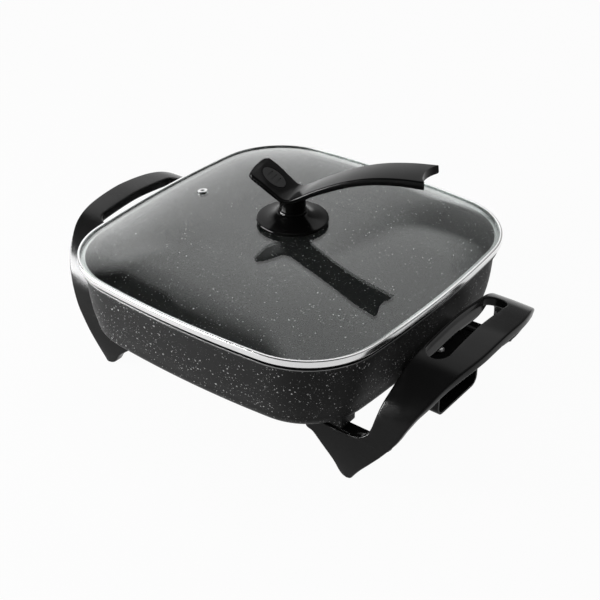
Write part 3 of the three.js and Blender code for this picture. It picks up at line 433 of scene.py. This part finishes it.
def slot_outline(grow):
    """The finger slot seen from above, grown all round."""
    near, far, half, r = SLOT_NEAR - grow, SLOT_FAR + grow, SLOT_HALF + grow, SLOT_RADIUS + grow
    points = []
    turns = ((far - r, half - r, 0), (near + r, half - r, 1), (near + r, r - half, 2), (far - r, r - half, 3))
    for x, y, quarter in turns:
        for a in quarter_turn(SLOT_CORNER_STEPS):
            angle = a + quarter * math.pi / 2
            points.append((x + r * math.cos(angle), y + r * math.sin(angle)))
        if quarter in (1, 3):
            side, sign = (near, 1) if quarter == 1 else (far, -1)
            for i in range(1, SLOT_RUNS):
                points.append((side, sign * (half - r) * (1 - 2 * i / SLOT_RUNS)))
    return points


def make_slot(stations):
    """Cutter of the finger slot, with a rounded edge above and below."""
    heights = sorted((s[0], s[1]) for s in stations if s[0] < GRIP_HALF)

    def face(x, y):
        """Height of the grip's top over a point."""
        y = abs(y)
        for (y0, z0), (y1, z1) in zip(heights, heights[1:]):
            if y0 <= y <= y1:
                share = (y - y0) / max(1e-6, y1 - y0)
                across = (x - FACE_MIDDLE) / FACE_HALF
                return z0 + (z1 - z0) * share + HANDLE_CROWN * max(0, 1 - across * across)
        return heights[-1][1]

    top, low = SLOT_TOP_ROUND, SLOT_LOW_ROUND
    levels = [(top, -SLOT_OVERRUN)]
    levels += [(top * (1 - math.sin(a)), top * (1 - math.cos(a))) for a in quarter_turn(ROUND_STEPS)]
    for a in quarter_turn(ROUND_STEPS):
        levels.append((low * (1 - math.cos(a)), SLOT_DEPTH - low + low * math.sin(a)))
    levels.append((low, SLOT_DEPTH + SLOT_OVERRUN))
    rings = []
    for grow, depth in reversed(levels):
        rings.append([(x, y, face(x, y) - depth) for x, y in slot_outline(grow)])
    return loft("slot", rings)


def make_skirt(stations):
    """Rolled wall that hangs from the slot's edge on the pan's side."""
    rings = []
    for y, z, inner, _, _, _ in stations:
        if y > SKIRT_HALF:
            break
        deep = SKIRT_END_DEPTH + SKIRT_EXTRA_DEPTH * (1 - (y / SLOT_HALF) ** 6)
        near = inner + SKIRT_INSET
        ring = [(near, y, z - SKIRT_TOP), (near, y, z - deep)]
        for i in range(1, SKIRT_STEPS):
            t = i / SKIRT_STEPS
            swell = min(1, 1.5 * math.sin(math.pi * t)) ** 0.5
            ring.append((near + SKIRT_INSET + SKIRT_ROLL * swell, y, z - deep + (deep - SKIRT_TOP) * t))
        rings.append(ring)
    mirrored = [[(x, -y, z) for x, y, z in ring] for ring in reversed(rings[1:])]
    return loft("skirt", mirrored + rings)


def make_handle(side):
    """The frame on one side: grip with its slot, two legs and two feet."""
    stations = handle_stations()
    rings = [handle_ring(s, -1, frame_section) for s in reversed(stations)]
    rings += [handle_ring(s, 1, frame_section) for s in stations[1:]]
    handle = loft(side + "_handle_frame", rings)
    carve(handle, make_slot(stations))
    carve(handle, make_skirt(stations), "UNION")
    legs = [s for s in stations if SHELF_TOP + HANDLE_WALL < s[1] < LEG_TOP]
    feet = [s for s in stations if HANDLE_WALL < s[1] < SHELF_BOTTOM]
    feet.insert(0, (feet[0][0], SHELF_BOTTOM, *feet[0][2:]))
    screw_spans = zip(*box_of("right_handle_screw_back"))
    screw_x, screw_y, _ = [abs(low + high) / 2 for low, high in screw_spans]
    for sign in (-1, 1):
        for rows in (legs, feet):
            carve(handle, loft("pocket", [handle_ring(s, sign, pocket_section) for s in rows]))
        spans = (SHELF_SPAN_X, mirrored_span(SHELF_SPAN_Y, sign), (SHELF_BOTTOM, SHELF_TOP))
        carve(handle, rounded_block("shelf", *zip(*spans), SHELF_ROUND, 2), "UNION")
        carve(handle, rod("hole", SHELF_HOLE, *SHELF_HOLE_SPAN, (screw_x, sign * screw_y)))
    if side == "left":
        handle.data.transform(Matrix.Rotation(math.pi, 4, "Z"))
    polish(handle)
    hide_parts(side + "_handle")
    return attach(handle, "base")


# Lid

RIM_ROUND = 1.15
RIM_ROUND_STEPS = 8
BAND_BOTTOM = 121
GLASS_THICKNESS = 3.4
GLASS_EDGE_TOP = GLASS_LOW[2] + GLASS_THICKNESS
GLASS_RISE = 18
GLASS_SHOULDER = 147.3
GLASS_HALF_WIDTH = GLASS_HIGH[0]
DOME_POWER = 3.5
DOME_RINGS = 46
RING_CROWDING = 1.4
KNOB_HOLE_SPAN = (130, 150)
VENT_PLACE = -100
VENT_HOLE = 3.2

# The band's outer foot, as distances in and up from its bottom edge
BAND_FOOT = [(0.7, 0), (0.3, 0.15), (0.05, 0.6), (0, 1.2)]
# The fold over the glass, as distances in and down from the top
BAND_FOLD = [(2, 0), (2.3, 0.15), (2.4, 0.5), (2.3, 0.9), (2, 1), (1.2, 1)]
# The flange inside the pan, as distances in and up from its lower edge
FLANGE = [(1.2, 3), (7.3, 3), (7.5, 2.8), (7.5, 0.2), (7.3, 0), (6.7, 0), (6.5, 0.2), (6.5, 2)]


def make_rim():
    """The folded stainless band: a rounded bead, a groove, and the flange inside the pan."""
    section = [(inset, BAND_BOTTOM + up) for inset, up in BAND_FOOT]
    for a in quarter_turn(RIM_ROUND_STEPS):
        section.append((RIM_ROUND * (1 - math.cos(a)), RIM_TOP - RIM_ROUND * (1 - math.sin(a))))
    section += [(inset, RIM_TOP - down) for inset, down in BAND_FOLD]
    section += [(inset, RIM_LOW[2] + up) for inset, up in FLANGE]
    layers = [square_outline(LID_HALF_WIDTH - inset, LID_CORNER - inset, z) for inset, z in section]
    rim = loft("rim_band", layers, closed=True)
    polish(rim, 28)
    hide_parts("lid_rim")
    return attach(rim, "lid")


def dome_height(share):
    """Height of the glass above its edge, at a share of the way out."""
    return GLASS_RISE * (1 - share ** DOME_POWER)


def make_glass():
    """Domed glass with a flat edge under the band and its two holes."""
    corner_share = LID_CORNER / LID_HALF_WIDTH
    shares = [1 - (1 - i / DOME_RINGS) ** RING_CROWDING for i in range(DOME_RINGS, 0, -1)]
    top = []
    for share in shares:
        half = GLASS_SHOULDER * share
        top.append(square_outline(half, half * corner_share, GLASS_EDGE_TOP + dome_height(share)))
    bottom = [[(x, y, z - GLASS_THICKNESS) for x, y, z in ring] for ring in top]
    edge = [
        square_outline(GLASS_HALF_WIDTH, GLASS_HALF_WIDTH * corner_share, z)
        for z in (GLASS_EDGE_TOP - GLASS_THICKNESS, GLASS_EDGE_TOP)
    ]
    glass = loft("glass_dome", [*reversed(bottom), *edge, *top], caps="fan")
    carve(glass, rod("knob_hole", SCREW_HOLE, *KNOB_HOLE_SPAN))
    vent = rod("vent_hole", VENT_HOLE, -8, 4, sides=40)
    share = abs(VENT_PLACE) / GLASS_SHOULDER
    slope = GLASS_RISE * DOME_POWER * share ** (DOME_POWER - 1) / GLASS_SHOULDER
    place = Matrix.Translation(Vector((VENT_PLACE, 0, GLASS_EDGE_TOP + dome_height(share))) * MM)
    vent.data.transform(place @ Matrix.Rotation(-math.atan(slope), 4, "Y"))
    carve(glass, vent)
    polish(glass, 40)
    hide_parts("lid_glass")
    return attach(glass, "lid")


# Profiles of the knob as radius and height above each piece's foot
DISC_PROFILE = [
    (SCREW_HOLE, 0), (10, 0), (10, 2.5), (26, 2.5), (26.8, 0), (29.4, 0), (29.9, 0.1), (30.25, 0.4),
    (30.4, 0.9), (30.4, 1.7), (30.3, 2.05), (30.05, 2.35), (29.6, 2.55), (29, 2.65), (26, 3.05), (23, 3.65),
    (20, 4.5), (17.5, 5.5), (15.5, 6.6), (14, 7.65), (13.2, 8.1), (12.6, 8.2), (SCREW_HOLE, 8.2),
]
STEM_RING_PROFILE = [
    (11.4, 0), (12.1, 0), (12.3, 0.2), (12.3, 1.1), (12.2, 1.6), (11.95, 2), (11.7, 2.2), (11.4, 2.2),
]
STEM_PROFILE = [
    (SCREW_HOLE, 0), (11.1, 0), (11.1, 11.7), (11.3, 13.2), (11.9, 14.8), (12.6, 16), (SCREW_HOLE, 16),
]


def make_knob():
    """Disc that flares up to the stem, and the thin ring round the stem's foot."""
    disc = turned("knob_disc", DISC_PROFILE, box_of("knob_base")[0][2], 160)
    polish(disc, 40)
    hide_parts("knob_base")
    ring = turned("stem_ring", STEM_RING_PROFILE, box_of("knob_collar")[0][2])
    polish(ring, 40)
    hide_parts("knob_collar")
    return [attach(piece, "lid") for piece in (disc, ring)]


# Rows along the grip from the short end to the long end: along, up, half width, thickness
GRIP_ROWS = [
    (-32.5, 190, 6.6, 4.1), (-31.7, 189.7, 12.5, 4.4), (-30.1, 188.8, 15.9, 4.7), (-27.8, 187.8, 17.2, 4.8),
    (-19.3, 182.9, 17.2, 4.8), (-10.4, 176.6, 16.5, 4.7), (-3.1, 171.8, 15.9, 4.4), (2.4, 171.3, 15.6, 4.4),
    (9.8, 174.7, 15.3, 4.5), (22.1, 182.6, 15, 4.8), (39.2, 192.3, 15, 5.4), (56.4, 200.6, 15, 5.8),
    (76, 207.5, 15.3, 6.4), (98, 212.1, 15.8, 6.9), (119.5, 214.5, 16.4, 7.5),
]
GRIP_STEPS = 8
GRIP_TURN = 12
GRIP_ROUND = 1.3
GRIP_ROUND_STEPS = 4
NOTCH_RADIUS = 25
NOTCH_PLACE = 139
NOTCH_SPAN = (170, 260)
OVAL_PLACE = -17
OVAL_HALVES = (11.8, 9.3)
OVAL_DEPTH = 1.2
OVAL_OVERRUN = 3
# The rows that the straight stretch round the oval lies between
OVAL_ROWS = (3, 5)


def grip_section(half, thick):
    """Cross-section of the ribbon: a flat bar with rounded edges."""
    r = GRIP_ROUND
    points = []
    turns = ((half - r, r, 0), (r - half, r, 1), (r - half, thick - r, 2), (half - r, thick - r, 3))
    for across, down, quarter in turns:
        for a in quarter_turn(GRIP_ROUND_STEPS):
            angle = a + quarter * math.pi / 2
            points.append((across + r * math.cos(angle), down - r * math.sin(angle)))
    return points


def make_oval():
    """Cutter of the shallow oval in the short arm."""
    (u0, z0), (u1, z1) = [GRIP_ROWS[i][:2] for i in OVAL_ROWS]
    slope = (z0 - z1) / (u0 - u1)
    height = z1 + slope * (OVAL_PLACE - u1)
    ring = [(OVAL_HALVES[0] * x, OVAL_HALVES[1] * y) for x, y in circle(1, 64)]
    oval = loft("recess", [[(x, y, z) for x, y in ring] for z in (-OVAL_DEPTH, OVAL_OVERRUN)])
    lean = Matrix.Rotation(-math.atan(slope), 4, "Y")
    oval.data.transform(Matrix.Translation(Vector((OVAL_PLACE, 0, height)) * MM) @ lean)
    return oval


def make_grip():
    """V-shaped ribbon on its stem, turned on the lid."""
    rows = spline_through(GRIP_ROWS, GRIP_STEPS)
    rings = []
    for i, (u, z, half, thick) in enumerate(rows):
        before, after = rows[max(i - 1, 0)], rows[min(i + 1, len(rows) - 1)]
        tangent = Vector((after[0] - before[0], 0, after[1] - before[1])).normalized()
        rings.append([(u + tangent.z * d, y, z - tangent.x * d) for y, d in grip_section(half, thick)])
    grip = loft("grip_ribbon", rings)
    carve(grip, rod("notch", NOTCH_RADIUS, *NOTCH_SPAN, (NOTCH_PLACE, 0), 160))
    carve(grip, make_oval())
    join(grip, turned("stem", STEM_PROFILE, box_of("lid_grip")[0][2]))
    grip.data.transform(Matrix.Rotation(math.radians(GRIP_TURN), 4, "Z"))
    polish(grip)
    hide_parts("lid_grip")
    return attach(grip, "lid")


# Materials

class Nodes:
    """Short calls that add linked nodes to a node tree."""

    def __init__(self, tree):
        self.tree = tree

    def node(self, kind, **settings):
        made = self.tree.nodes.new(kind)
        for key, value in settings.items():
            setattr(made, key, value)
        return made

    def feed(self, socket, value):
        if isinstance(value, bpy.types.NodeSocket):
            self.tree.links.new(value, socket)
        else:
            socket.default_value = value

    def math(self, operation, a, b=0.0, clamp=False):
        made = self.node("ShaderNodeMath", operation=operation, use_clamp=clamp)
        self.feed(made.inputs[0], a)
        self.feed(made.inputs[1], b)
        return made.outputs[0]

    def product(self, first, *others):
        for other in others:
            first = self.math("MULTIPLY", first, other)
        return first

    def highest(self, first, *others):
        for other in others:
            first = self.math("MAXIMUM", first, other)
        return first

    def span(self, value, low, high, to_low, to_high):
        """Turns one range of numbers into another, evenly and with its ends held."""
        return self.map_range("LINEAR", value, low, high, to_low, to_high)

    def ease(self, value, low, high, to_low, to_high):
        """Turns one range of numbers into another, smoothly and with its ends held."""
        return self.map_range("SMOOTHSTEP", value, low, high, to_low, to_high)

    def map_range(self, kind, value, *limits):
        made = self.node("ShaderNodeMapRange", interpolation_type=kind)
        self.feed(made.inputs["Value"], value)
        for key, number in zip(("From Min", "From Max", "To Min", "To Max"), limits):
            self.feed(made.inputs[key], number)
        return made.outputs["Result"]

    def blend(self, factor, a, b):
        made = self.node("ShaderNodeMix", data_type="RGBA")
        self.feed(made.inputs["Factor"], factor)
        self.feed(made.inputs["A"], a)
        self.feed(made.inputs["B"], b)
        return made.outputs["Result"]

    def mix_shaders(self, factor, first, second):
        made = self.node("ShaderNodeMixShader")
        for socket, value in zip(made.inputs, (factor, first, second)):
            self.feed(socket, value)
        return made.outputs[0]


class Finish(Nodes):
    """A node material round one Principled shader, with object coordinates in metres."""

    def __init__(self, name):
        self.material = bpy.data.materials.new(name)
        self.material.use_nodes = True
        super().__init__(self.material.node_tree)
        self.shader = self.tree.nodes["Principled BSDF"]
        self.output = self.tree.nodes["Material Output"]
        self.place = self.node("ShaderNodeTexCoord").outputs["Object"]

    def set(self, **values):
        for key, value in values.items():
            self.feed(self.shader.inputs[key.replace("_", " ")], value)

    def noise(self, scale, detail=2.0, roughness=0.5, vector=None, output="Fac"):
        made = self.node("ShaderNodeTexNoise")
        self.feed(made.inputs["Vector"], vector or self.place)
        made.inputs["Scale"].default_value = scale
        made.inputs["Detail"].default_value = detail
        made.inputs["Roughness"].default_value = roughness
        return made.outputs[output]

    def patchy(self, noise, low, high):
        """A number that wanders between two values with a noise."""
        return self.span(noise, 0.3, 0.7, low, high)

    def bump(self, height, distance, strength):
        made = self.node("ShaderNodeBump")
        made.inputs["Strength"].default_value = strength
        made.inputs["Distance"].default_value = distance
        self.feed(made.inputs["Height"], height)
        return made.outputs["Normal"]

    def scaled(self, x, y, z):
        made = self.node("ShaderNodeMapping")
        self.feed(made.inputs["Vector"], self.place)
        made.inputs["Scale"].default_value = (x, y, z)
        return made.outputs["Vector"]


def grey(level, warmth=0.0):
    """A linear grey, slightly warm or cool."""
    return (level * (1 + warmth), level, level * (1 - warmth), 1)


# Flecks of the coating: cells in a metre, radius in metres, share of the cells with one, brightness
FLECKS = [
    (170, 0.0009, 0.6, 1.0), (260, 0.0007, 0.9, 1.0), (400, 0.00048, 0.8, 0.9), (700, 0.00030, 0.7, 0.35),
]
FLECK_WARP = 0.0022


def fleck_layer(f, place, crowd, cells, radius, share, level):
    """Pale spots of one size, scattered more thickly where the crowd is high."""
    cell = f.node("ShaderNodeTexVoronoi", voronoi_dimensions="3D", feature="F1")
    f.feed(cell.inputs["Vector"], place)
    cell.inputs["Scale"].default_value = cells
    parts = f.node("ShaderNodeSeparateColor")
    f.feed(parts.inputs[0], cell.outputs["Color"])
    least = f.math("SUBTRACT", 1.0, f.math("MULTIPLY", crowd, share))
    reach = f.math("MULTIPLY", f.span(parts.outputs[0], least, 1, 0.45, 1), radius * cells)
    there = f.math("GREATER_THAN", parts.outputs[0], least)
    edge = f.math("SUBTRACT", 1.0, f.math("DIVIDE", cell.outputs["Distance"], reach), True)
    spot = f.math("MULTIPLY", f.span(edge, 0, 0.12, 0, 1), there)
    return f.math("MULTIPLY", spot, f.span(parts.outputs[1], 0, 1, level * 0.4, level))


def stone_coating(name, base, gloss, specular, grain, size=1.0):
    """Dark stone-look coating: charcoal with pale flecks of four sizes, thicker in some places."""
    f = Finish(name)
    warp = f.node("ShaderNodeVectorMath", operation="MULTIPLY_ADD")
    f.feed(warp.inputs[0], f.noise(1000, 2, 0.6, output="Color"))
    warp.inputs[1].default_value = (FLECK_WARP, FLECK_WARP, FLECK_WARP)
    f.feed(warp.inputs[2], f.place)
    crowd = f.span(f.noise(38, 2, 0.5), 0.35, 0.65, 0.45, 1.35)
    layers = []
    for cells, radius, share, level in FLECKS:
        layers.append(fleck_layer(f, warp.outputs[0], crowd, cells, radius * size, share, level))
    ground = f.blend(f.noise(60, 4, 0.6), grey(base * 0.85), grey(base * 1.15))
    f.set(Base_Color=f.blend(f.highest(*layers), ground, grey(1.0)))
    f.set(Roughness=f.patchy(f.noise(220, 3), gloss - 0.05, gloss + 0.05), Specular_IOR_Level=specular)
    f.set(Normal=f.bump(f.noise(700, 1), grain, 0.5))
    return f.material


def black_moulding(name, base, low, high, specular):
    """Black moulded plastic with an uneven gloss and a fine grain."""
    f = Finish(name)
    f.set(Base_Color=f.blend(f.noise(35, 3, 0.5), grey(base * 0.8), grey(base * 1.25)))
    f.set(Roughness=f.patchy(f.noise(90, 4, 0.6), low, high), Specular_IOR_Level=specular)
    f.set(Normal=f.bump(f.noise(2600, 2), 0.000012, 0.5))
    return f.material


def polished_metal(name, tone, low, high, grain=(60, 60, 900)):
    """Bare metal with faint drawing lines in its gloss."""
    f = Finish(name)
    lines = f.noise(1, 3, 0.6, vector=f.scaled(*grain))
    f.set(Metallic=1.0, Base_Color=f.blend(lines, grey(tone * 0.93), grey(tone)))
    f.set(Roughness=f.patchy(lines, low, high))
    f.set(Normal=f.bump(lines, 0.00001, 0.3))
    return f.material


def clear_glass():
    """Lightly grey tempered glass that lets the lamps light what is under it."""
    f = Finish("smoked_glass")
    tint = f.blend(f.noise(14, 2), (0.80, 0.83, 0.82, 1), (0.84, 0.87, 0.86, 1))
    f.set(Base_Color=tint, Roughness=f.patchy(f.noise(25, 3), 0.0, 0.004))
    f.set(Transmission_Weight=1.0, IOR=1.5)
    clear = f.node("ShaderNodeBsdfTransparent")
    f.feed(clear.inputs["Color"], (0.72, 0.75, 0.74, 1))
    shadow = f.node("ShaderNodeLightPath").outputs["Is Shadow Ray"]
    f.feed(f.output.inputs["Surface"], f.mix_shaders(shadow, f.shader.outputs[0], clear.outputs[0]))
    return f.material


def dull_finish(name, base, rough, warmth=0.0):
    """Matt material such as ceramic or silicone."""
    f = Finish(name)
    f.set(Base_Color=f.blend(f.noise(120, 4, 0.6), grey(base * 0.85, warmth), grey(base, warmth)))
    f.set(Roughness=f.patchy(f.noise(200, 3), rough - 0.06, rough + 0.06))
    f.set(Normal=f.bump(f.noise(900, 2), 0.00003, 0.5))
    return f.material


def sheath_metal():
    """Heating element sheath, browned by heat in places."""
    f = Finish("element_sheath")
    heat = f.span(f.noise(45, 4, 0.6), 0.35, 0.7, 0, 1)
    f.set(Metallic=1.0, Base_Color=f.blend(heat, grey(0.24), (0.16, 0.11, 0.075, 1)))
    f.set(Roughness=f.patchy(f.noise(300, 3), 0.38, 0.55))
    f.set(Normal=f.bump(f.noise(1200, 2), 0.00003, 0.5))
    return f.material


def paint(obj, *materials):
    """Gives an object its materials, the first of them on every face."""
    obj.data.materials.clear()
    for material in materials:
        obj.data.materials.append(material)


def paint_pan(pan, outside, inside, edge, painted_shade):
    """Coats the pan outside and in, with a rubbed edge on its lip, and paints the step above that black as
    painted shade under the rim.
    """
    paint(pan, outside, inside, edge, painted_shade)
    edge_low, edge_high = LIP_EDGE - 0.5, LIP_EDGE + 0.45
    step_top = LIP_EDGE + 1.2
    inside_slot, edge_slot, painted_shade_slot = 1, 2, 3
    for face in pan.data.polygons:
        x, y, z = face.center / MM
        across = Vector((x, y)).normalized()
        inward = face.normal.x * across.x + face.normal.y * across.y < 0
        if z < PAN_FLOOR - 1 or z > LIP_TOP - 0.1:
            continue
        if edge_low < z < edge_high and face.normal.z > 0.3:
            face.material_index = edge_slot
        elif inward or (face.normal.z > 0.7 and not LIP_EDGE < z < step_top):
            face.material_index = inside_slot
        elif z > edge_high:
            # The step above the rubbed edge, hidden under the rim, gets the black finish as painted shade
            face.material_index = painted_shade_slot


# Floor, world, lamps and camera

FLOOR_HALF = 4000
FLOOR_DROP = 0.2
CAMERA_PLACE = (0.58145, -0.75365, 0.678)
CAMERA_AZIMUTH = 37.283
CAMERA_ELEVATION = 32.799
CAMERA_SENSOR = 36
CAMERA_LENS = 77.92


def make_floor():
    """A wide pale floor, white to the eye but still showing the shadow, and whiter behind for the gloss."""
    corners = ((-1, -1), (1, -1), (1, 1), (-1, 1))
    points = [(FLOOR_HALF * x, FLOOR_HALF * y, -FLOOR_DROP) for x, y in corners]
    floor = make_object("floor", points, [(0, 1, 2, 3)])
    f = Finish("floor_white")
    f.set(Base_Color=f.blend(f.noise(3, 2), grey(0.80), grey(0.82)), Roughness=0.9, Specular_IOR_Level=0.0)
    path = f.node("ShaderNodeLightPath").outputs
    seen = f.math("MULTIPLY", path["Is Camera Ray"], 0.96)
    place = f.node("ShaderNodeSeparateXYZ")
    f.feed(place.inputs[0], f.place)
    mirrored = f.ease(place.outputs["Y"], 0.2, 0.35, 0.6, 1)
    seen = f.math("ADD", seen, f.math("MULTIPLY", path["Is Glossy Ray"], mirrored))
    seen = f.math("ADD", seen, f.math("MULTIPLY", path["Is Transmission Ray"], 0.4), True)
    glow = f.node("ShaderNodeEmission")
    f.feed(f.output.inputs["Surface"], f.mix_shaders(seen, f.shader.outputs[0], glow.outputs[0]))
    paint(floor, f.material)


def studio_window(w, turn, rise):
    """Brightness that gloss and glass see, by direction: turn from +X and rise, both in degrees."""
    # Soft ends of the window, on its near and its far side
    near_side = w.ease(turn, 45, 88, 0.3, 1)
    far_side = w.span(turn, w.ease(rise, 40, 46, 154, 147), 168, 1, 0.12)
    # A dark screen beyond the far side, with a notch in its edge
    notch = w.math("MULTIPLY", w.ease(rise, 43, 46.5, 0, 4.5), w.ease(rise, 50.5, 54, 1, -0.3))
    edge = w.math("SUBTRACT", 166.0, notch)
    screen = w.span(turn, edge, w.math("ADD", edge, 0.6), 0, 0.75)
    screen = w.math("MULTIPLY", screen, w.span(rise, 56, 58, 1, 0))
    far_side = w.math("MULTIPLY", far_side, w.math("SUBTRACT", 1.0, screen))
    # The sill, higher on the near side and gone by the far side, where the window's foot is brighter
    sill = w.span(turn, 90, 115, 41.5, 35)
    above = w.span(rise, w.math("SUBTRACT", sill, 6.0), sill, 0.22, 1.05)
    sideways = w.ease(turn, 112, 128, 0.3, 1)
    low = w.math("MULTIPLY", w.ease(turn, 138, 148, 0, 0.45), w.ease(rise, 34, 42, 1, 0))
    upward = w.math("ADD", low, w.ease(rise, 26, 38, 1.05, 1.15))
    window = w.product(near_side, far_side, w.highest(above, sideways), upward, w.ease(turn, -3, 3, 0.08, 1))
    # A bright strip on the horizon behind the right handle
    horizon = w.product(w.ease(turn, 100, 106, 0, 1), w.ease(turn, 116, 124, 1, 0), w.ease(rise, 3, 13, 1, 0))
    return w.highest(window, horizon, 0.04)


def make_world():
    """White for the camera, a large soft window at the back for what reflects, and an even light."""
    world = bpy.data.worlds.new("studio")
    bpy.context.scene.world = world
    world.use_nodes = True
    w = Nodes(world.node_tree)
    way = w.node("ShaderNodeSeparateXYZ")
    w.feed(way.inputs[0], w.node("ShaderNodeTexCoord").outputs["Generated"])
    turn = w.math("MULTIPLY", w.math("ARCTAN2", way.outputs["Y"], way.outputs["X"]), math.degrees(1))
    rise = w.math("MULTIPLY", w.math("ARCSINE", way.outputs["Z"]), math.degrees(1))
    reflected = studio_window(w, turn, rise)

    path = w.node("ShaderNodeLightPath").outputs
    no_diffuse = w.math("LESS_THAN", path["Diffuse Depth"], 0.5)
    straight = w.math("LESS_THAN", path["Glossy Depth"], 0.5)
    through = w.product(path["Is Transmission Ray"], no_diffuse, w.highest(reflected, straight))
    seen = w.highest(w.math("MULTIPLY", path["Is Glossy Ray"], reflected), through, path["Is Camera Ray"])
    bent = w.highest(path["Is Glossy Ray"], path["Is Transmission Ray"])
    shaded = w.ease(w.math("ABSOLUTE", turn), 50, 90, 0.12, 0.32)
    even = w.math("MULTIPLY", w.math("SUBTRACT", 1.0, bent, True), shaded)
    back = w.tree.nodes["Background"]
    back.inputs["Color"].default_value = (1, 1, 1, 1)
    w.feed(back.inputs["Strength"], w.highest(seen, even))


def turn_to(obj, direction):
    """Points an object's lens or lamp in a direction."""
    obj.rotation_mode = "QUATERNION"
    obj.rotation_quaternion = direction.to_track_quat("-Z", "Y")


def add_lamp(name, place, target, size, power, lights=True, shines=True):
    """A soft lamp that faces a point, and lights, shines in the gloss or both."""
    data = bpy.data.lights.new(name, "AREA")
    data.shape = "RECTANGLE"
    data.size, data.size_y = size
    data.energy = power
    lamp = add_object(name, data)
    lamp.location = place
    turn_to(lamp, Vector(target) - Vector(place))
    lamp.visible_camera = False
    lamp.visible_transmission = False
    lamp.visible_diffuse = lights
    lamp.visible_glossy = shines


def make_camera():
    """The photograph's view."""
    data = bpy.data.cameras.new("camera")
    data.sensor_width = CAMERA_SENSOR
    data.lens = CAMERA_LENS
    data.clip_start, data.clip_end = 0.01, 100
    camera = add_object("camera", data)
    azimuth, elevation = math.radians(CAMERA_AZIMUTH), math.radians(CAMERA_ELEVATION)
    level = math.cos(elevation)
    camera.location = CAMERA_PLACE
    turn_to(camera, -Vector((math.sin(azimuth) * level, -math.cos(azimuth) * level, math.sin(elevation))))
    bpy.context.scene.camera = camera


# The object

pan = make_pan()
handles = [make_handle("right"), make_handle("left")]
rim = make_rim()
glass = make_glass()
grip = make_grip()
knob = make_knob()

coating = stone_coating("stone_coating", base=0.028, gloss=0.45, specular=0.08, grain=0.00002)
inner_coating = stone_coating("inner_coating", base=0.018, gloss=0.6, specular=0.12, grain=0.0, size=0.8)
phenolic = black_moulding("phenolic", base=0.014, low=0.15, high=0.2, specular=0.14)
satin = black_moulding("satin_black", base=0.005, low=0.1, high=0.16, specular=0.1)
housing_black = black_moulding("housing_black", base=0.008, low=0.25, high=0.35, specular=0.12)
rim_steel = polished_metal("rim_steel", tone=0.9, low=0.18, high=0.24)
lip_edge = polished_metal("lip_edge", tone=0.32, low=0.3, high=0.4)
chrome = polished_metal("chrome", tone=0.85, low=0.06, high=0.1)
steel = polished_metal("screw_steel", tone=0.62, low=0.24, high=0.36, grain=(400, 400, 400))
ceramic = dull_finish("ceramic", base=0.74, rough=0.6, warmth=0.04)
silicone = dull_finish("silicone", base=0.02, rough=0.75)
pad_black = dull_finish("soft_touch", base=0.007, rough=0.5)
lid_clear = clear_glass()

# The satin black on the pan's step under the rim is painted shade
paint_pan(pan, coating, inner_coating, lip_edge, satin)
for handle in handles:
    paint(handle, phenolic)
paint(rim, rim_steel)
paint(glass, lid_clear)
for piece in (grip, *knob):
    paint(piece, satin)

# Finishes of the part's own nodes, the replaced ones among them; the others are steel
NODE_FINISHES = {
    "heating_element": sheath_metal(),
    "terminal_insulator_front": ceramic,
    "terminal_insulator_back": ceramic,
    "socket_housing": housing_black,
    "vent_eyelet": chrome,
    "knob_seal": silicone,
    "thumb_pad": pad_black,
    "pan_body": coating,
    "right_handle": phenolic,
    "left_handle": phenolic,
    "lid_rim": rim_steel,
    "lid_glass": lid_clear,
    "lid_grip": satin,
    "knob_base": satin,
    "knob_collar": satin,
}
for name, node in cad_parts.items():
    paint(node, NODE_FINISHES.get(name, steel))
    soften(node)

make_floor()
make_world()
add_lamp("card", (-0.73, -0.67, 0.23), (-0.18, -0.087, 0.075), size=(0.8, 0.36), power=55, lights=False)
add_lamp("key", (-0.75, -0.69, 0.30), (-0.1, -0.08, 0.08), size=(0.3, 0.43), power=6, shines=False)
add_lamp("top", (0.1, 0.5, 1.6), (0, 0, 0.08), size=(0.9, 0.7), power=3, shines=False)
make_camera()
bpy.context.scene.view_settings.view_transform = "Standard"
